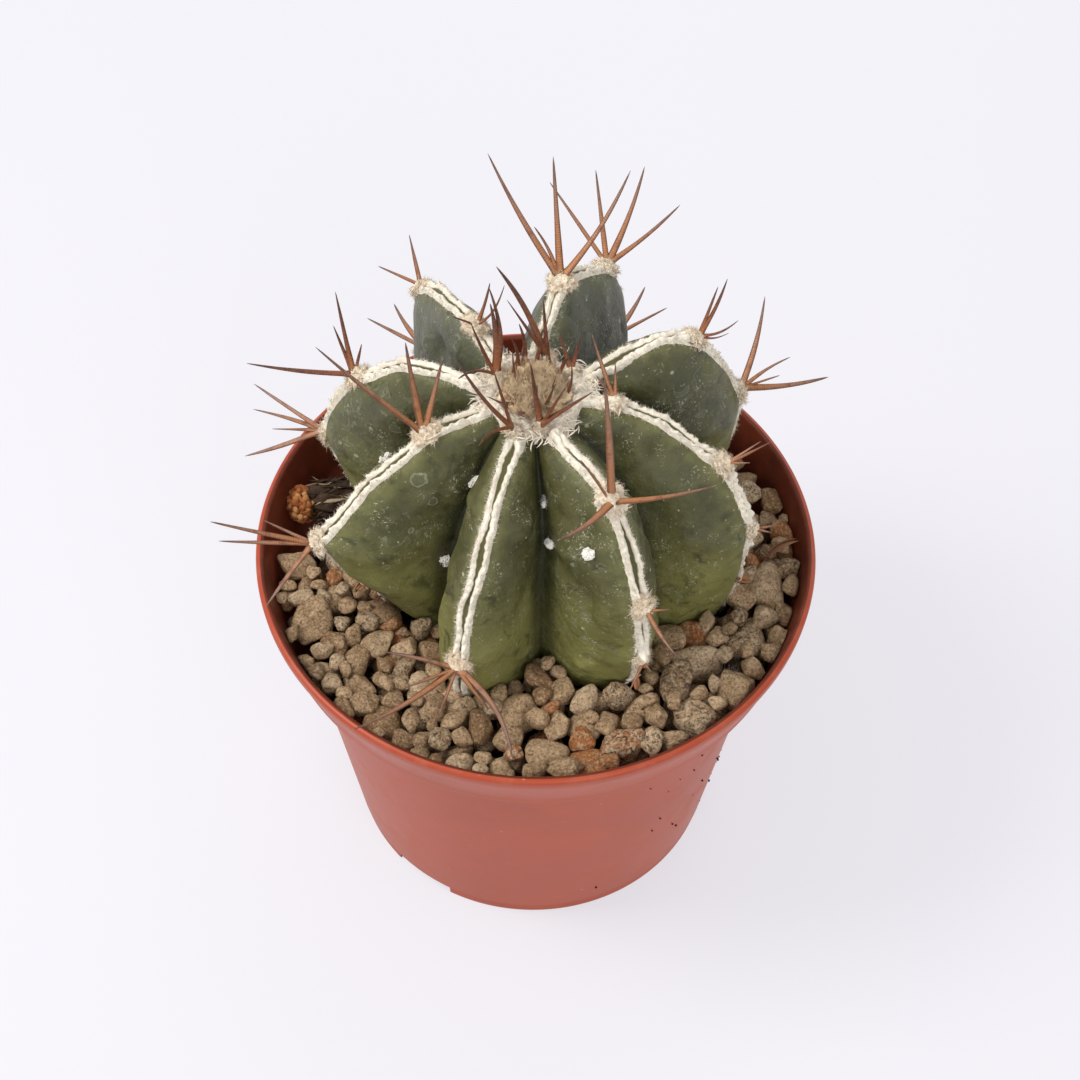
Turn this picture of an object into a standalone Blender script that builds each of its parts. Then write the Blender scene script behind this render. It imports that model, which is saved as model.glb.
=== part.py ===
"""A round ribbed cactus in a nursery pot.

Frame: metres, +Z up. The origin is the middle of the pot's underside, on the surface it stands on.
The pot's axis is the Z axis, and the front of the plant faces -Y.
Angles round the plant are in degrees from +X towards +Y; a radius and a height are in millimetres
and are scaled by MM.
"""
import math
import random

import bmesh
import bpy
import numpy as np
from mathutils import Matrix, Vector, noise
from mathutils.bvhtree import BVHTree

MM = 0.001
GAP = 0.3  # clearance between neighbouring pieces
NAME = "potted_round_cactus"

# Pot
POT_HEIGHT = 76.1
RIM_RADIUS = 52.5
COLLAR_BOTTOM_RADIUS = 49.2
COLLAR_BOTTOM_HEIGHT = 64.4
WALL_TOP_RADIUS = 45.2
WALL_TOP_HEIGHT = 61.2
BASE_RADIUS = 36.1
WALL = 1.3
FLOOR_UNDERSIDE = 2.6
FLOOR_TOP = 4.2
PAD_RADIUS = 8.6
FOOT_RING_WIDTH = 2.6
TURN_STEPS = 48
DRAIN_HOLES = 6
DRAIN_HOLE_RADIUS = 3.5
DRAIN_HOLE_CIRCLE = 22.0
NOTCH_ANGLES = (-127, -7, 113)
NOTCH_WIDTH = 13.0
NOTCH_HEIGHT = 2.2

# Soil and gravel
MIX_TOP = 59.5
BED_TOP = 65.5
PEBBLES = 16
PEBBLE_SIZES = (2.7, 4.0)
PEBBLE_SEED = 11

# Stem: every rib has a crest that starts at the crown, goes over a shoulder and a nose and sinks
# into the gravel at its foot. A crest runs through these points, and so does each valley.
STEM_CENTRE = (-1.0, 0.5)
CROWN_HEIGHT = 117.0
CROWN_RADIUS = 8.0
CROWN_LIFT = 0.5
FOOT_HEIGHT = 68.0
BURIED_HEIGHT = 56.0
BURIED_SHARE = 0.6
ROOT_HEIGHT = 50.0
VALLEY_POINTS = ((0, CROWN_HEIGHT), (8, 114.5), (15, 103), (19, 88), (21, 68), (14, 57), (0, ROOT_HEIGHT))
CREST_HALF_WIDTH = 1.8
CREST_DROP = 0.4
FLANK_BULGE = 0.11
ROWS_PER_SPAN = (2, 4, 6, 5, 2, 2)
COLUMNS_PER_RIB = 8
VALLEY_GROWTH = 2.5
# azimuth: at the crown, the shoulder, the nose and the foot. shoulder, nose: radius and height.
# foot: radius. nose_round: 1 is a round nose, 0 a pointed one. valley: width of the next valley.
RIBS = {
    "front_left": dict(azimuth=(-107, -109, -112, -112), shoulder=(21, 111), nose=(33, 83), foot=31.5,
                       nose_round=1.0, valley=1.0),
    "front_right": dict(azimuth=(-62, -56, -56, -56), shoulder=(24, 115), nose=(35, 96), foot=32,
                        nose_round=1.0, valley=1.2),
    "right": dict(azimuth=(3, -5, -11, -14), shoulder=(25, 113), nose=(39, 97), foot=36.5,
                  nose_round=1.0, valley=1.1),
    "right_back": dict(azimuth=(31, 28, 28, 28), shoulder=(28, 120), nose=(42, 97), foot=35,
                       nose_round=1.0, valley=1.05),
    "back": dict(azimuth=(85, 79, 68, 68), shoulder=(23, 122.5), nose=(37, 111), foot=32,
                 nose_round=1.0, valley=1.05),
    "back_left": dict(azimuth=(126, 124, 122, 122), shoulder=(25, 118.5), nose=(39, 107), foot=32,
                      nose_round=1.0, valley=1.05),
    "left_back": dict(azimuth=(158, 158, 158, 158), shoulder=(26, 114.5), nose=(40.5, 94), foot=31,
                      nose_round=1.0, valley=1.0),
    "left": dict(azimuth=(196, 198, 200, 200), shoulder=(20, 114), nose=(39.5, 93), foot=26,
                 nose_round=0.5, valley=1.0),
}

# Spine clusters: place is how far along the crest (1 crown, 2 shoulder, 3 nose, 4 foot). A spine is
# its azimuth, its elevation, its length and its bow, which bends the tip up (or down, below zero).
CLUSTERS = {
    "front_left_lower": dict(rib="front_left", place=3.1, cushion=2.4, spines=(
        (-174, 29, 14, 1), (-136, 3, 23, 2), (-145, 14, 11, 0), (-168, 36, 7, 0),
        (-52, 2, 20, -2), (-60, 8, 12, 1), (-105, -2, 12, 1))),
    "front_right_upper": dict(rib="front_right", place=2.0, cushion=2.8, spines=(
        (117, 80, 28, 1.5), (-26, 36, 22, 1), (-125, 12, 15, 1), (171, 62, 11, 0))),
    "front_right_middle": dict(rib="front_right", place=2.95, cushion=2.4, spines=(
        (-63, -4, 10, 0), (-18, 30, 4, 0))),
    "front_right_lower": dict(rib="front_right", place=3.5, cushion=1.9, spines=(
        (-115, -12, 6, 0), (-70, 30, 3, 0))),
    "right_upper": dict(rib="right", place=1.35, cushion=2.0, spines=(
        (122, 46, 12, 1), (141, 40, 5, 0), (92, 53, 6, 0))),
    "right_middle": dict(rib="right", place=2.5, cushion=2.4, spines=(
        (10, 42, 7, 0), (2, 36, 9, 0.5), (-21, 26, 4, 0))),
    "right_lower": dict(rib="right", place=3.15, cushion=1.9, spines=(
        (-30, 20, 3, 0), (5, 10, 3, 0))),
    "right_back_upper": dict(rib="right_back", place=2.2, cushion=2.4, spines=(
        (58, 54, 9, 0), (46, 50, 11, 0.5), (-6, 22, 7, 1), (-25, 14, 5, 1))),
    "right_back_middle": dict(rib="right_back", place=3.0, cushion=2.6, spines=(
        (70, 32, 17, 1), (31, 18, 10, 1), (7, -2, 16, 0.5), (18, 8, 7, 0))),
    "back_upper": dict(rib="back", place=2.0, cushion=2.6, spines=(
        (136, 41, 25, 0.5), (128, 45, 10, 2), (97, 50, 21, 0), (41, 43, 22, -1))),
    "back_middle": dict(rib="back", place=2.8, cushion=2.6, spines=(
        (129, 24, 18, 0), (99, 32, 17, 0), (65, 28, 19, 0), (36, 16, 17, 0))),
    "back_left_upper": dict(rib="back_left", place=1.6, cushion=2.2, spines=(
        (33, 68, 9, 1), (-3, 49, 9, 2), (-159, 42, 5, 0))),
    "back_left_middle": dict(rib="back_left", place=2.9, cushion=2.4, spines=(
        (107, 35, 9, 0), (160, 12, 8, 0))),
    "left_back_upper": dict(rib="left_back", place=2.4, cushion=2.6, spines=(
        (111, 54, 15, 0.5), (125, 50, 9, 0), (70, 50, 5, 0), (-170, 16, 19, 0))),
    "left_back_lower": dict(rib="left_back", place=3.2, cushion=2.6, spines=(
        (146, 6, 16, 0.5), (168, -14, 10, 0), (156, -6, 14, 1), (-177, -26, 17, -1))),
    "left_upper": dict(rib="left", place=1.9, cushion=2.6, spines=(
        (180, 51, 27, 0), (119, 70, 18, 1), (60, 64, 14, 0))),
    "left_nose": dict(rib="left", place=3.0, cushion=2.4, spines=(
        (172, 30, 10, 0), (-174, 24, 19, 0.5), (-166, 17, 17, 0.5), (-124, -10, 14, -1))),
    "back_lower": dict(rib="back", place=3.4, cushion=2.2, spines=(
        (100, 10, 13, 0), (65, -8, 15, 0), (30, 8, 11, 0))),
    "back_left_lower": dict(rib="back_left", place=3.4, cushion=2.2, spines=(
        (150, 4, 12, 0), (118, -10, 14, 0), (90, 10, 10, 0))),
}
SPINE_RADIUS = 0.65
SPINE_TIP_RADIUS = 0.12
SPINE_POINTS = 5
LONG_SPINE = 15.0

# Crown: a dome of wool with young spines in small cushions round it
CROWN_CENTRE = (-0.6, 1.8)
WOOL_RADIUS = 5.2
WOOL_DOME_HEIGHT = 4.2
CROWN_CUSHION_HEIGHT = 118.6
# ring: azimuth and radius of the cushion about the crown's centre
CROWN_CLUSTERS = {
    "crown_front_left": dict(ring=(-113, 9.2), cushion=1.7, spines=(
        (-166, 60, 20, 1), (175, 78, 15, 0), (-140, 25, 9, -1))),
    "crown_front_right": dict(ring=(-82, 7.6), cushion=1.7, spines=(
        (-13, 52, 14, 0), (-8, 70, 11, 0), (118, 72, 12, 0))),
    "crown_left": dict(ring=(153, 7.8), cushion=1.7, spines=(
        (94, 70, 14, 1), (84, 74, 16, -1.5), (-150, 40, 9, -1.5), (150, 60, 11, 1))),
    "crown_back": dict(ring=(76, 8.2), cushion=1.7, spines=(
        (142, 56, 20, 2), (165, 60, 14, 0), (100, 64, 10, 0))),
    "crown_right": dict(ring=(37, 7.8), cushion=1.7, spines=(
        (126, 62, 7, 0), (60, 64, 6, 0))),
}

# Wool bands that run along the crests between the cushions
BAND_RADIUS = 1.9
BAND_SINK = 0.9
BAND_START = 1.35
BAND_END = 3.75
BAND_POINTS_PER_SPAN = 5
BAND_GROW_ALONG = 0.1
CUSHION_LIFT = 1.1

# Loose plant debris on the gravel: azimuth, radius, half sizes and turn
BARK_CHUNK = dict(place=(159, 41.5), half=(8.5, 4.2, 3.6), turn=15)
DRIED_FLOWER = dict(place=(-34, 43.8), half=(3.4, 2.2, 2.0), turn=40)

COLORS = {
    "terracotta": (0.43, 0.12, 0.075),
    "soil": (0.055, 0.038, 0.026),
    "gravel": (0.37, 0.27, 0.19),
    "stem": (0.075, 0.11, 0.05),
    "wool": (0.80, 0.74, 0.62),
    "spine": (0.40, 0.19, 0.09),
    "bark": (0.10, 0.055, 0.03),
}


def clear_scene():
    for item in list(bpy.data.objects):
        bpy.data.objects.remove(item, do_unlink=True)


def make_material(name, roughness=0.8):
    material = bpy.data.materials.new(name)
    material.use_nodes = True
    shader = material.node_tree.nodes["Principled BSDF"]
    shader.inputs["Base Color"].default_value = (*COLORS[name], 1.0)
    shader.inputs["Roughness"].default_value = roughness
    shader.inputs["Metallic"].default_value = 0.0
    return material


def add_object(name, mesh, collection, color=None):
    item = bpy.data.objects.new(name, mesh)
    collection.objects.link(item)
    if color:
        mesh.materials.clear()
        mesh.materials.append(make_material(color))
        mesh.shade_smooth()
        mesh.set_sharp_from_angle(angle=math.radians(35))
    return item


def hide_cutter(item):
    item.hide_render = True
    item.display_type = "WIRE"


def mesh_from_bmesh(name, form):
    mesh = bpy.data.meshes.new(name)
    bmesh.ops.recalc_face_normals(form, faces=form.faces[:])
    form.to_mesh(mesh)
    form.free()
    return mesh


def baked(item):
    """Replaces an object's modifiers by the mesh that they make."""
    graph = bpy.context.evaluated_depsgraph_get()
    mesh = bpy.data.meshes.new_from_object(item.evaluated_get(graph))
    item.modifiers.clear()
    item.data = mesh
    return item


def combine(item, other, operation):
    modifier = item.modifiers.new(operation.lower(), "BOOLEAN")
    modifier.operation = operation
    modifier.object = other
    modifier.solver = "EXACT"
    baked(item)


def remove_objects(items):
    for item in items:
        bpy.data.objects.remove(item, do_unlink=True)


def tidy_cut(item, weld=0.00002):
    """Welds what a cut leaves closer together than the weld distance."""
    form = bmesh.new()
    form.from_mesh(item.data)
    bmesh.ops.remove_doubles(form, verts=form.verts[:], dist=weld)
    bmesh.ops.dissolve_degenerate(form, edges=form.edges[:], dist=weld)
    bmesh.ops.triangulate(form, faces=form.faces[:])
    form.to_mesh(item.data)
    form.free()


def turned(name, profile, collection, color):
    """Turns a profile of radius and height pairs once round the Z axis."""
    mesh = bpy.data.meshes.new(name)
    points = [(radius * MM, 0.0, height * MM) for radius, height in profile]
    edges = [(i, i + 1) for i in range(len(points) - 1)]
    mesh.from_pydata(points, edges, [])
    item = add_object(name, mesh, collection)
    screw = item.modifiers.new("turn", "SCREW")
    screw.steps = TURN_STEPS
    screw.render_steps = TURN_STEPS
    screw.use_merge_vertices = True
    screw.merge_threshold = 0.00001
    baked(item)
    item.data.materials.append(make_material(color))
    item.data.shade_smooth()
    item.data.set_sharp_from_angle(angle=math.radians(35))
    return item


# ---- stem surface ----

def smooth_point(keys, place, slopes):
    """A point on the smooth line through the keys; place counts the keys from 0."""
    span = min(int(place), len(keys) - 2)
    t = place - span
    length = np.linalg.norm(keys[span + 1][:2] - keys[span][:2])
    return ((2 * t**3 - 3 * t**2 + 1) * keys[span] + (t**3 - 2 * t**2 + t) * length * slopes[span]
            + (3 * t**2 - 2 * t**3) * keys[span + 1] + (t**3 - t**2) * length * slopes[span + 1])


def key_slopes(keys, nose_round=1.0):
    lengths = [np.linalg.norm(b[:2] - a[:2]) for a, b in zip(keys, keys[1:])]
    slopes = [(keys[1] - keys[0]) / lengths[0]]
    for i in range(1, len(keys) - 1):
        slopes.append((keys[i + 1] - keys[i - 1]) / (lengths[i - 1] + lengths[i]))
    slopes.append((keys[-1] - keys[-2]) / lengths[-1])
    slopes[3] = slopes[3] * nose_round
    return slopes


def crest_keys(rib):
    at = rib["azimuth"]
    return [np.array(key, float) for key in (
        (0, CROWN_HEIGHT, at[0]),
        (CROWN_RADIUS, CROWN_HEIGHT + CROWN_LIFT, at[0]),
        (*rib["shoulder"], at[1]),
        (*rib["nose"], at[2]),
        (rib["foot"], FOOT_HEIGHT, at[3]),
        (rib["foot"] * BURIED_SHARE, BURIED_HEIGHT, at[3]),
        (0, ROOT_HEIGHT, at[3]))]


def valley_keys(rib, azimuths):
    return [np.array((radius * rib["valley"], height, azimuth), float)
            for (radius, height), azimuth in zip(VALLEY_POINTS, azimuths)]


def stem_point(radius, height, azimuth):
    angle = math.radians(azimuth)
    return np.array((STEM_CENTRE[0] + radius * math.cos(angle),
                     STEM_CENTRE[1] + radius * math.sin(angle), height))


def crest_point(rib, place):
    keys = crest_keys(rib)
    return stem_point(*smooth_point(keys, place, key_slopes(keys, rib["nose_round"])))


def outward(keys, slopes, place, step=0.05):
    """The direction that points out of a crest or a valley, square to it and in its own plane."""
    place = min(max(place, 2 * step), len(keys) - 1 - 2 * step)
    before = stem_point(*smooth_point(keys, place - step, slopes))
    behind = stem_point(*smooth_point(keys, place + step, slopes))
    along = (behind - before) / np.linalg.norm(behind - before)
    out = (before + behind) / 2 - np.array((*STEM_CENTRE, FOOT_HEIGHT))
    out = out - along * np.dot(out, along)
    return out / np.linalg.norm(out)


def crest_normal(rib, place):
    keys = crest_keys(rib)
    return outward(keys, key_slopes(keys, rib["nose_round"]), place)


def row_place(row):
    for span, rows in enumerate(ROWS_PER_SPAN):
        if row <= rows:
            return span + row / rows
        row -= rows
    return float(len(ROWS_PER_SPAN))


def surface_point(rib_list, column, row, grow):
    """Where a column and a row of the stem's surface lie, between a crest and a valley.

    With grow above zero the crest, its edges and the valley move out, so the surface clears the stem.
    """
    place = row_place(row)
    count = len(rib_list)
    index, step = divmod(column, COLUMNS_PER_RIB)
    half = COLUMNS_PER_RIB // 2
    after = step > half
    left = rib_list[index]
    right = rib_list[(index + 1) % count]
    rib = right if after else left
    turn = 360 if index == count - 1 else 0
    keys = crest_keys(rib)
    slopes = key_slopes(keys, rib["nose_round"])
    own = smooth_point(keys, place, slopes)
    crest = stem_point(*own) + outward(keys, slopes, place) * grow
    steps_from_crest = COLUMNS_PER_RIB - step if after else step
    if steps_from_crest == 0:
        return crest
    azimuths = [(key_left[2] + key_right[2] + turn) / 2
                for key_left, key_right in zip(crest_keys(left), crest_keys(right))]
    keys = valley_keys(left, azimuths)
    slopes = key_slopes(keys)
    low = smooth_point(keys, place, slopes)
    valley = stem_point(*low) + outward(keys, slopes, place) * grow * VALLEY_GROWTH
    angle = math.radians(own[2])
    aside = np.array((-math.sin(angle), math.cos(angle), 0.0)) * (-1 if after else 1)
    reach = np.linalg.norm(crest - valley)
    half_turn = abs(low[2] - own[2] - (turn if after else 0))
    room = own[0] * math.radians(half_turn)
    width = min(CREST_HALF_WIDTH, reach * 0.4, room * 0.3)
    inward = (valley - crest) / max(reach, 1e-6)
    edge = crest + aside * (width + min(grow, room * 0.1)) + inward * CREST_DROP * width / CREST_HALF_WIDTH
    share = (steps_from_crest - 1) / (half - 1)
    bulge = min(reach * FLANK_BULGE, room * 0.15) * math.sin(math.pi * share)
    return edge + (valley - edge) * share + aside * bulge


def make_stem_mesh(name, grow=0.0):
    rib_list = list(RIBS.values())
    rows = sum(ROWS_PER_SPAN)
    columns = COLUMNS_PER_RIB * len(rib_list)
    form = bmesh.new()
    bmesh.ops.create_uvsphere(form, u_segments=columns, v_segments=rows, radius=1.0)
    for vert in form.verts:
        turn = math.atan2(vert.co.y, vert.co.x) / (2 * math.pi)
        column = round(turn * columns) % columns
        row = round(math.acos(max(-1.0, min(1.0, vert.co.z))) / math.pi * rows)
        vert.co = Vector(surface_point(rib_list, column, row, grow)) * MM
    bmesh.ops.triangulate(form, faces=form.faces[:])
    return mesh_from_bmesh(name, form)


# ---- pieces ----

def pot_profile():
    inner_base = BASE_RADIUS - WALL
    inner_wall_top = WALL_TOP_RADIUS - WALL
    inner_collar = COLLAR_BOTTOM_RADIUS - WALL
    ring_inside = BASE_RADIUS - FOOT_RING_WIDTH
    return [
        (0, FLOOR_TOP),
        (inner_base - 0.8, FLOOR_TOP),
        (inner_base, FLOOR_TOP + 1.0),
        (inner_wall_top, WALL_TOP_HEIGHT + 0.6),
        (inner_collar, COLLAR_BOTTOM_HEIGHT + 0.2),
        (RIM_RADIUS - 1.7, POT_HEIGHT - 0.8),
        (RIM_RADIUS - 1.2, POT_HEIGHT),
        (RIM_RADIUS - 0.4, POT_HEIGHT),
        (RIM_RADIUS, POT_HEIGHT - 0.7),
        (RIM_RADIUS - 0.3, POT_HEIGHT - 2.4),
        (COLLAR_BOTTOM_RADIUS, COLLAR_BOTTOM_HEIGHT),
        (COLLAR_BOTTOM_RADIUS - 0.8, COLLAR_BOTTOM_HEIGHT - 1.3),
        (WALL_TOP_RADIUS + 0.7, WALL_TOP_HEIGHT + 0.9),
        (WALL_TOP_RADIUS, WALL_TOP_HEIGHT - 0.4),
        (BASE_RADIUS + 0.4, 3.2),
        (BASE_RADIUS, 0.4),
        (BASE_RADIUS - 0.4, 0),
        (ring_inside, 0),
        (ring_inside - 0.4, FLOOR_UNDERSIDE),
        (PAD_RADIUS + 0.4, FLOOR_UNDERSIDE),
        (PAD_RADIUS, 0),
        (0, 0),
    ]


def make_pot(parts, cutters):
    pot = turned("pot", pot_profile(), parts, "terracotta")
    form = bmesh.new()
    for hole in range(DRAIN_HOLES):
        angle = 2 * math.pi * (hole + 0.5) / DRAIN_HOLES
        place = Matrix.Translation((DRAIN_HOLE_CIRCLE * MM * math.cos(angle),
                                    DRAIN_HOLE_CIRCLE * MM * math.sin(angle), FLOOR_TOP * MM))
        bmesh.ops.create_cone(form, cap_ends=True, segments=14, radius1=DRAIN_HOLE_RADIUS * MM,
                              radius2=DRAIN_HOLE_RADIUS * MM, depth=8 * MM, matrix=place)
    for notch in NOTCH_ANGLES:
        angle = math.radians(notch)
        middle = BASE_RADIUS - FOOT_RING_WIDTH / 2
        place = (Matrix.Rotation(angle, 4, "Z") @ Matrix.Translation((middle * MM, 0, 0))
                 @ Matrix.Diagonal((5 * MM, NOTCH_WIDTH * MM, 2 * NOTCH_HEIGHT * MM, 1)))
        bmesh.ops.create_cube(form, size=1.0, matrix=place)
    cutter = add_object("pot_cutter", mesh_from_bmesh("pot_cutter", form), cutters)
    hide_cutter(cutter)
    combine(pot, cutter, "DIFFERENCE")
    return pot


def make_fill(parts, stem_cutter):
    """The potting mix and the gravel bed, each turned to the pot's inside and cut round the stem."""
    inner_base = BASE_RADIUS - WALL - GAP
    wall_slope = (WALL_TOP_RADIUS - BASE_RADIUS) / WALL_TOP_HEIGHT
    inner_mix_top = BASE_RADIUS + wall_slope * MIX_TOP - WALL - GAP - 0.2
    mix_bottom = FLOOR_TOP + GAP
    mix = turned("potting_mix", [(0, MIX_TOP), (inner_mix_top - 0.5, MIX_TOP), (inner_mix_top, MIX_TOP - 0.8),
                                 (inner_base - 0.3, mix_bottom + 1.2), (inner_base - 1.4, mix_bottom),
                                 (0, mix_bottom)], parts, "soil")
    bed_bottom = MIX_TOP + GAP
    inner_collar = COLLAR_BOTTOM_RADIUS - WALL - GAP
    bed = turned("gravel_bed", [(0, BED_TOP), (inner_collar - 0.4, BED_TOP), (inner_collar - 0.4, BED_TOP - 0.5),
                                (inner_mix_top - 0.2, WALL_TOP_HEIGHT + 0.4),
                                (inner_mix_top - 0.4, bed_bottom), (0, bed_bottom)], parts, "gravel")
    for item in (mix, bed):
        combine(item, stem_cutter, "DIFFERENCE")
        tidy_cut(item)


def make_tube(name, points, radii, collection):
    """A closed mesh tube through the points, with its own radius at each of them."""
    data = bpy.data.curves.new(name, "CURVE")
    data.dimensions = "3D"
    data.bevel_depth = MM
    data.bevel_resolution = 1
    data.use_fill_caps = True
    spline = data.splines.new("POLY")
    spline.points.add(len(points) - 1)
    for spot, point, radius in zip(spline.points, points, radii):
        spot.co = (*(point * MM), 1.0)
        spot.radius = radius
    curve = bpy.data.objects.new(name, data)
    collection.objects.link(curve)
    bpy.context.view_layer.update()
    graph = bpy.context.evaluated_depsgraph_get()
    mesh = bpy.data.meshes.new_from_object(curve.evaluated_get(graph))
    form = bmesh.new()
    form.from_mesh(mesh)
    bmesh.ops.remove_doubles(form, verts=form.verts[:], dist=0.00001)
    bmesh.ops.recalc_face_normals(form, faces=form.faces[:])
    form.to_mesh(mesh)
    form.free()
    matrix = curve.matrix_world.copy()
    bpy.data.objects.remove(curve, do_unlink=True)
    item = bpy.data.objects.new(name, mesh)
    item.matrix_world = matrix
    collection.objects.link(item)
    return item


def make_spine(name, start, azimuth, elevation, length, bow, cutters):
    """A tapered, slightly bowed spine from start, as a closed mesh object."""
    across = math.cos(math.radians(elevation))
    direction = np.array((across * math.cos(math.radians(azimuth)),
                          across * math.sin(math.radians(azimuth)), math.sin(math.radians(elevation))))
    upward = np.array((0.0, 0.0, 1.0)) - direction * direction[2]
    upward = upward / max(np.linalg.norm(upward), 1e-6)
    base_radius = SPINE_RADIUS * min(1.0, 0.6 + 0.4 * length / LONG_SPINE)
    steps = [i / (SPINE_POINTS - 1) for i in range(SPINE_POINTS)]
    points = [start + direction * length * t + upward * bow * t**2 for t in steps]
    radii = [base_radius + (SPINE_TIP_RADIUS - base_radius) * t**1.3 for t in steps]
    return make_tube(name, points, radii, cutters)


def make_lump(name, centre, half, turn, seed, collection, color, rough=0.12, flat_below=-2.0):
    """A rough closed lump: an icosphere pushed in and out by smooth noise, and flattened underneath."""
    form = bmesh.new()
    bmesh.ops.create_icosphere(form, subdivisions=2, radius=1.0)
    for vert in form.verts:
        push = 1.0 + rough * noise.noise(vert.co * 1.6 + Vector((seed * 3.1, seed * 1.7, seed * 0.9)))
        vert.co *= push
        vert.co.z = max(vert.co.z, flat_below * (1.0 + 0.1 * (1.0 - vert.co.xy.length)))
    place = (Matrix.Translation(Vector(centre) * MM) @ Matrix.Rotation(math.radians(turn), 4, "Z")
             @ Matrix.Diagonal((half[0] * MM, half[1] * MM, half[2] * MM, 1)))
    bmesh.ops.transform(form, matrix=place, verts=form.verts[:])
    return add_object(name, mesh_from_bmesh(name, form), collection, color)


def make_cluster(name, base, out, cluster, parts, cutters, cut_by):
    """One spine cluster: a woolly cushion joined with its spines and cut to what it sits on."""
    cushion = cluster["cushion"]
    item = make_lump(name, base + out * CUSHION_LIFT, (cushion, cushion, cushion), 0, len(name), parts, "spine")
    spares = []
    for i, (azimuth, elevation, length, bow) in enumerate(cluster["spines"]):
        spread = np.array((math.cos(math.radians(azimuth)), math.sin(math.radians(azimuth)), 0.0))
        start = base + out * (CUSHION_LIFT + cushion * 0.35) + spread * cushion * 0.3
        spine = make_spine(f"{name}_spine_{i}", start, azimuth, elevation, length, bow, cutters)
        combine(item, spine, "UNION")
        spares.append(spine)
    for cutter in cut_by:
        combine(item, cutter, "DIFFERENCE")
    tidy_cut(item)
    keep_largest_body(item)
    remove_objects(spares)
    return item


def crest_tube(name, rib, grow, collection):
    """A tube that runs along a crest with its middle just under the surface."""
    count = round((BAND_END - BAND_START) * BAND_POINTS_PER_SPAN) + 1
    start = BAND_START - grow * BAND_GROW_ALONG
    end = BAND_END + grow * BAND_GROW_ALONG
    points = []
    for i in range(count):
        place = start + (end - start) * i / (count - 1)
        points.append(crest_point(rib, place) - crest_normal(rib, place) * BAND_SINK)
    return make_tube(name, points, [BAND_RADIUS + grow] * count, collection)


def make_band(rib_name, parts, stem_cutter):
    """The wool along one crest, cut to the stem's surface."""
    band = crest_tube(f"crest_wool_{rib_name}", RIBS[rib_name], 0.0, parts)
    band.data.materials.append(make_material("wool"))
    combine(band, stem_cutter, "DIFFERENCE")
    tidy_cut(band)
    keep_largest_body(band)


def keep_largest_body(item):
    """Keeps the largest closed body of an object and drops the slivers that a cut left."""
    form = bmesh.new()
    form.from_mesh(item.data)
    groups = []
    unseen = set(form.verts)
    while unseen:
        group = set()
        front = [unseen.pop()]
        while front:
            vert = front.pop()
            group.add(vert)
            for edge in vert.link_edges:
                other = edge.other_vert(vert)
                if other in unseen:
                    unseen.remove(other)
                    front.append(other)
        groups.append(group)
    groups.sort(key=len, reverse=True)
    for group in groups[1:]:
        bmesh.ops.delete(form, geom=list(group), context="VERTS")
    form.to_mesh(item.data)
    form.free()


def ring_place(azimuth, radius, height):
    angle = math.radians(azimuth)
    return np.array((radius * math.cos(angle), radius * math.sin(angle), height))


def make_crown(parts, cutters, cut_by):
    flat_below = 0.12
    bottom = CROWN_HEIGHT + CROWN_LIFT + 2 * GAP
    middle = np.array((*CROWN_CENTRE, bottom))
    make_lump("crown_wool", middle, (WOOL_RADIUS, WOOL_RADIUS, WOOL_DOME_HEIGHT), 0, 5, parts, "wool",
              rough=0.06, flat_below=-flat_below)
    for name, cluster in CROWN_CLUSTERS.items():
        azimuth, radius = cluster["ring"]
        base = np.array((*CROWN_CENTRE, CROWN_CUSHION_HEIGHT)) + ring_place(azimuth, radius, 0.0)
        make_cluster(f"spines_{name}", base, np.array((0, 0, 1.0)), cluster, parts, cutters, cut_by)


def surface_tree(item):
    form = bmesh.new()
    form.from_mesh(item.data)
    tree = BVHTree.FromBMesh(form)
    form.free()
    return tree


def make_debris(parts):
    """The bark chunk and the dried flower, as lumps resting on the gravel bed."""
    taken = []
    for name, debris, color in (("bark_chunk", BARK_CHUNK, "bark"), ("dried_flower", DRIED_FLOWER, "bark")):
        half = debris["half"]
        centre = ring_place(*debris["place"], BED_TOP + GAP + half[2] * 1.1)
        turn = debris["place"][0] + debris["turn"] + 90
        make_lump(name, centre, half, turn, 7, parts, color, rough=0.2)
        taken.append((centre, max(half)))
    return taken


def make_pebbles(parts, stem, taken):
    """Loose pebbles on the bed, placed at random where there is room between stem and pot."""
    draw = random.Random(PEBBLE_SEED)
    tree = surface_tree(stem)
    outer = COLLAR_BOTTOM_RADIUS - WALL - GAP
    made = 0
    while made < PEBBLES:
        half = draw.uniform(*PEBBLE_SIZES)
        flat = half * draw.uniform(0.6, 0.8)
        centre = ring_place(draw.uniform(0, 360), draw.uniform(24, outer - half), BED_TOP + GAP + flat * 1.1)
        nearest, normal, _, distance = tree.find_nearest(Vector(centre) * MM)
        inside = (Vector(centre) * MM - nearest).dot(normal) < 0
        if inside or distance / MM < half * 1.1 + GAP:
            continue
        if any(np.linalg.norm(centre - other) < half * 1.08 + size * 1.08 + GAP for other, size in taken):
            continue
        made += 1
        make_lump(f"pebble_{made:02d}", centre, (half, half * draw.uniform(0.7, 0.9), flat), draw.uniform(0, 180),
                  made, parts, "gravel", rough=0.25)
        taken.append((centre, half))


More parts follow.
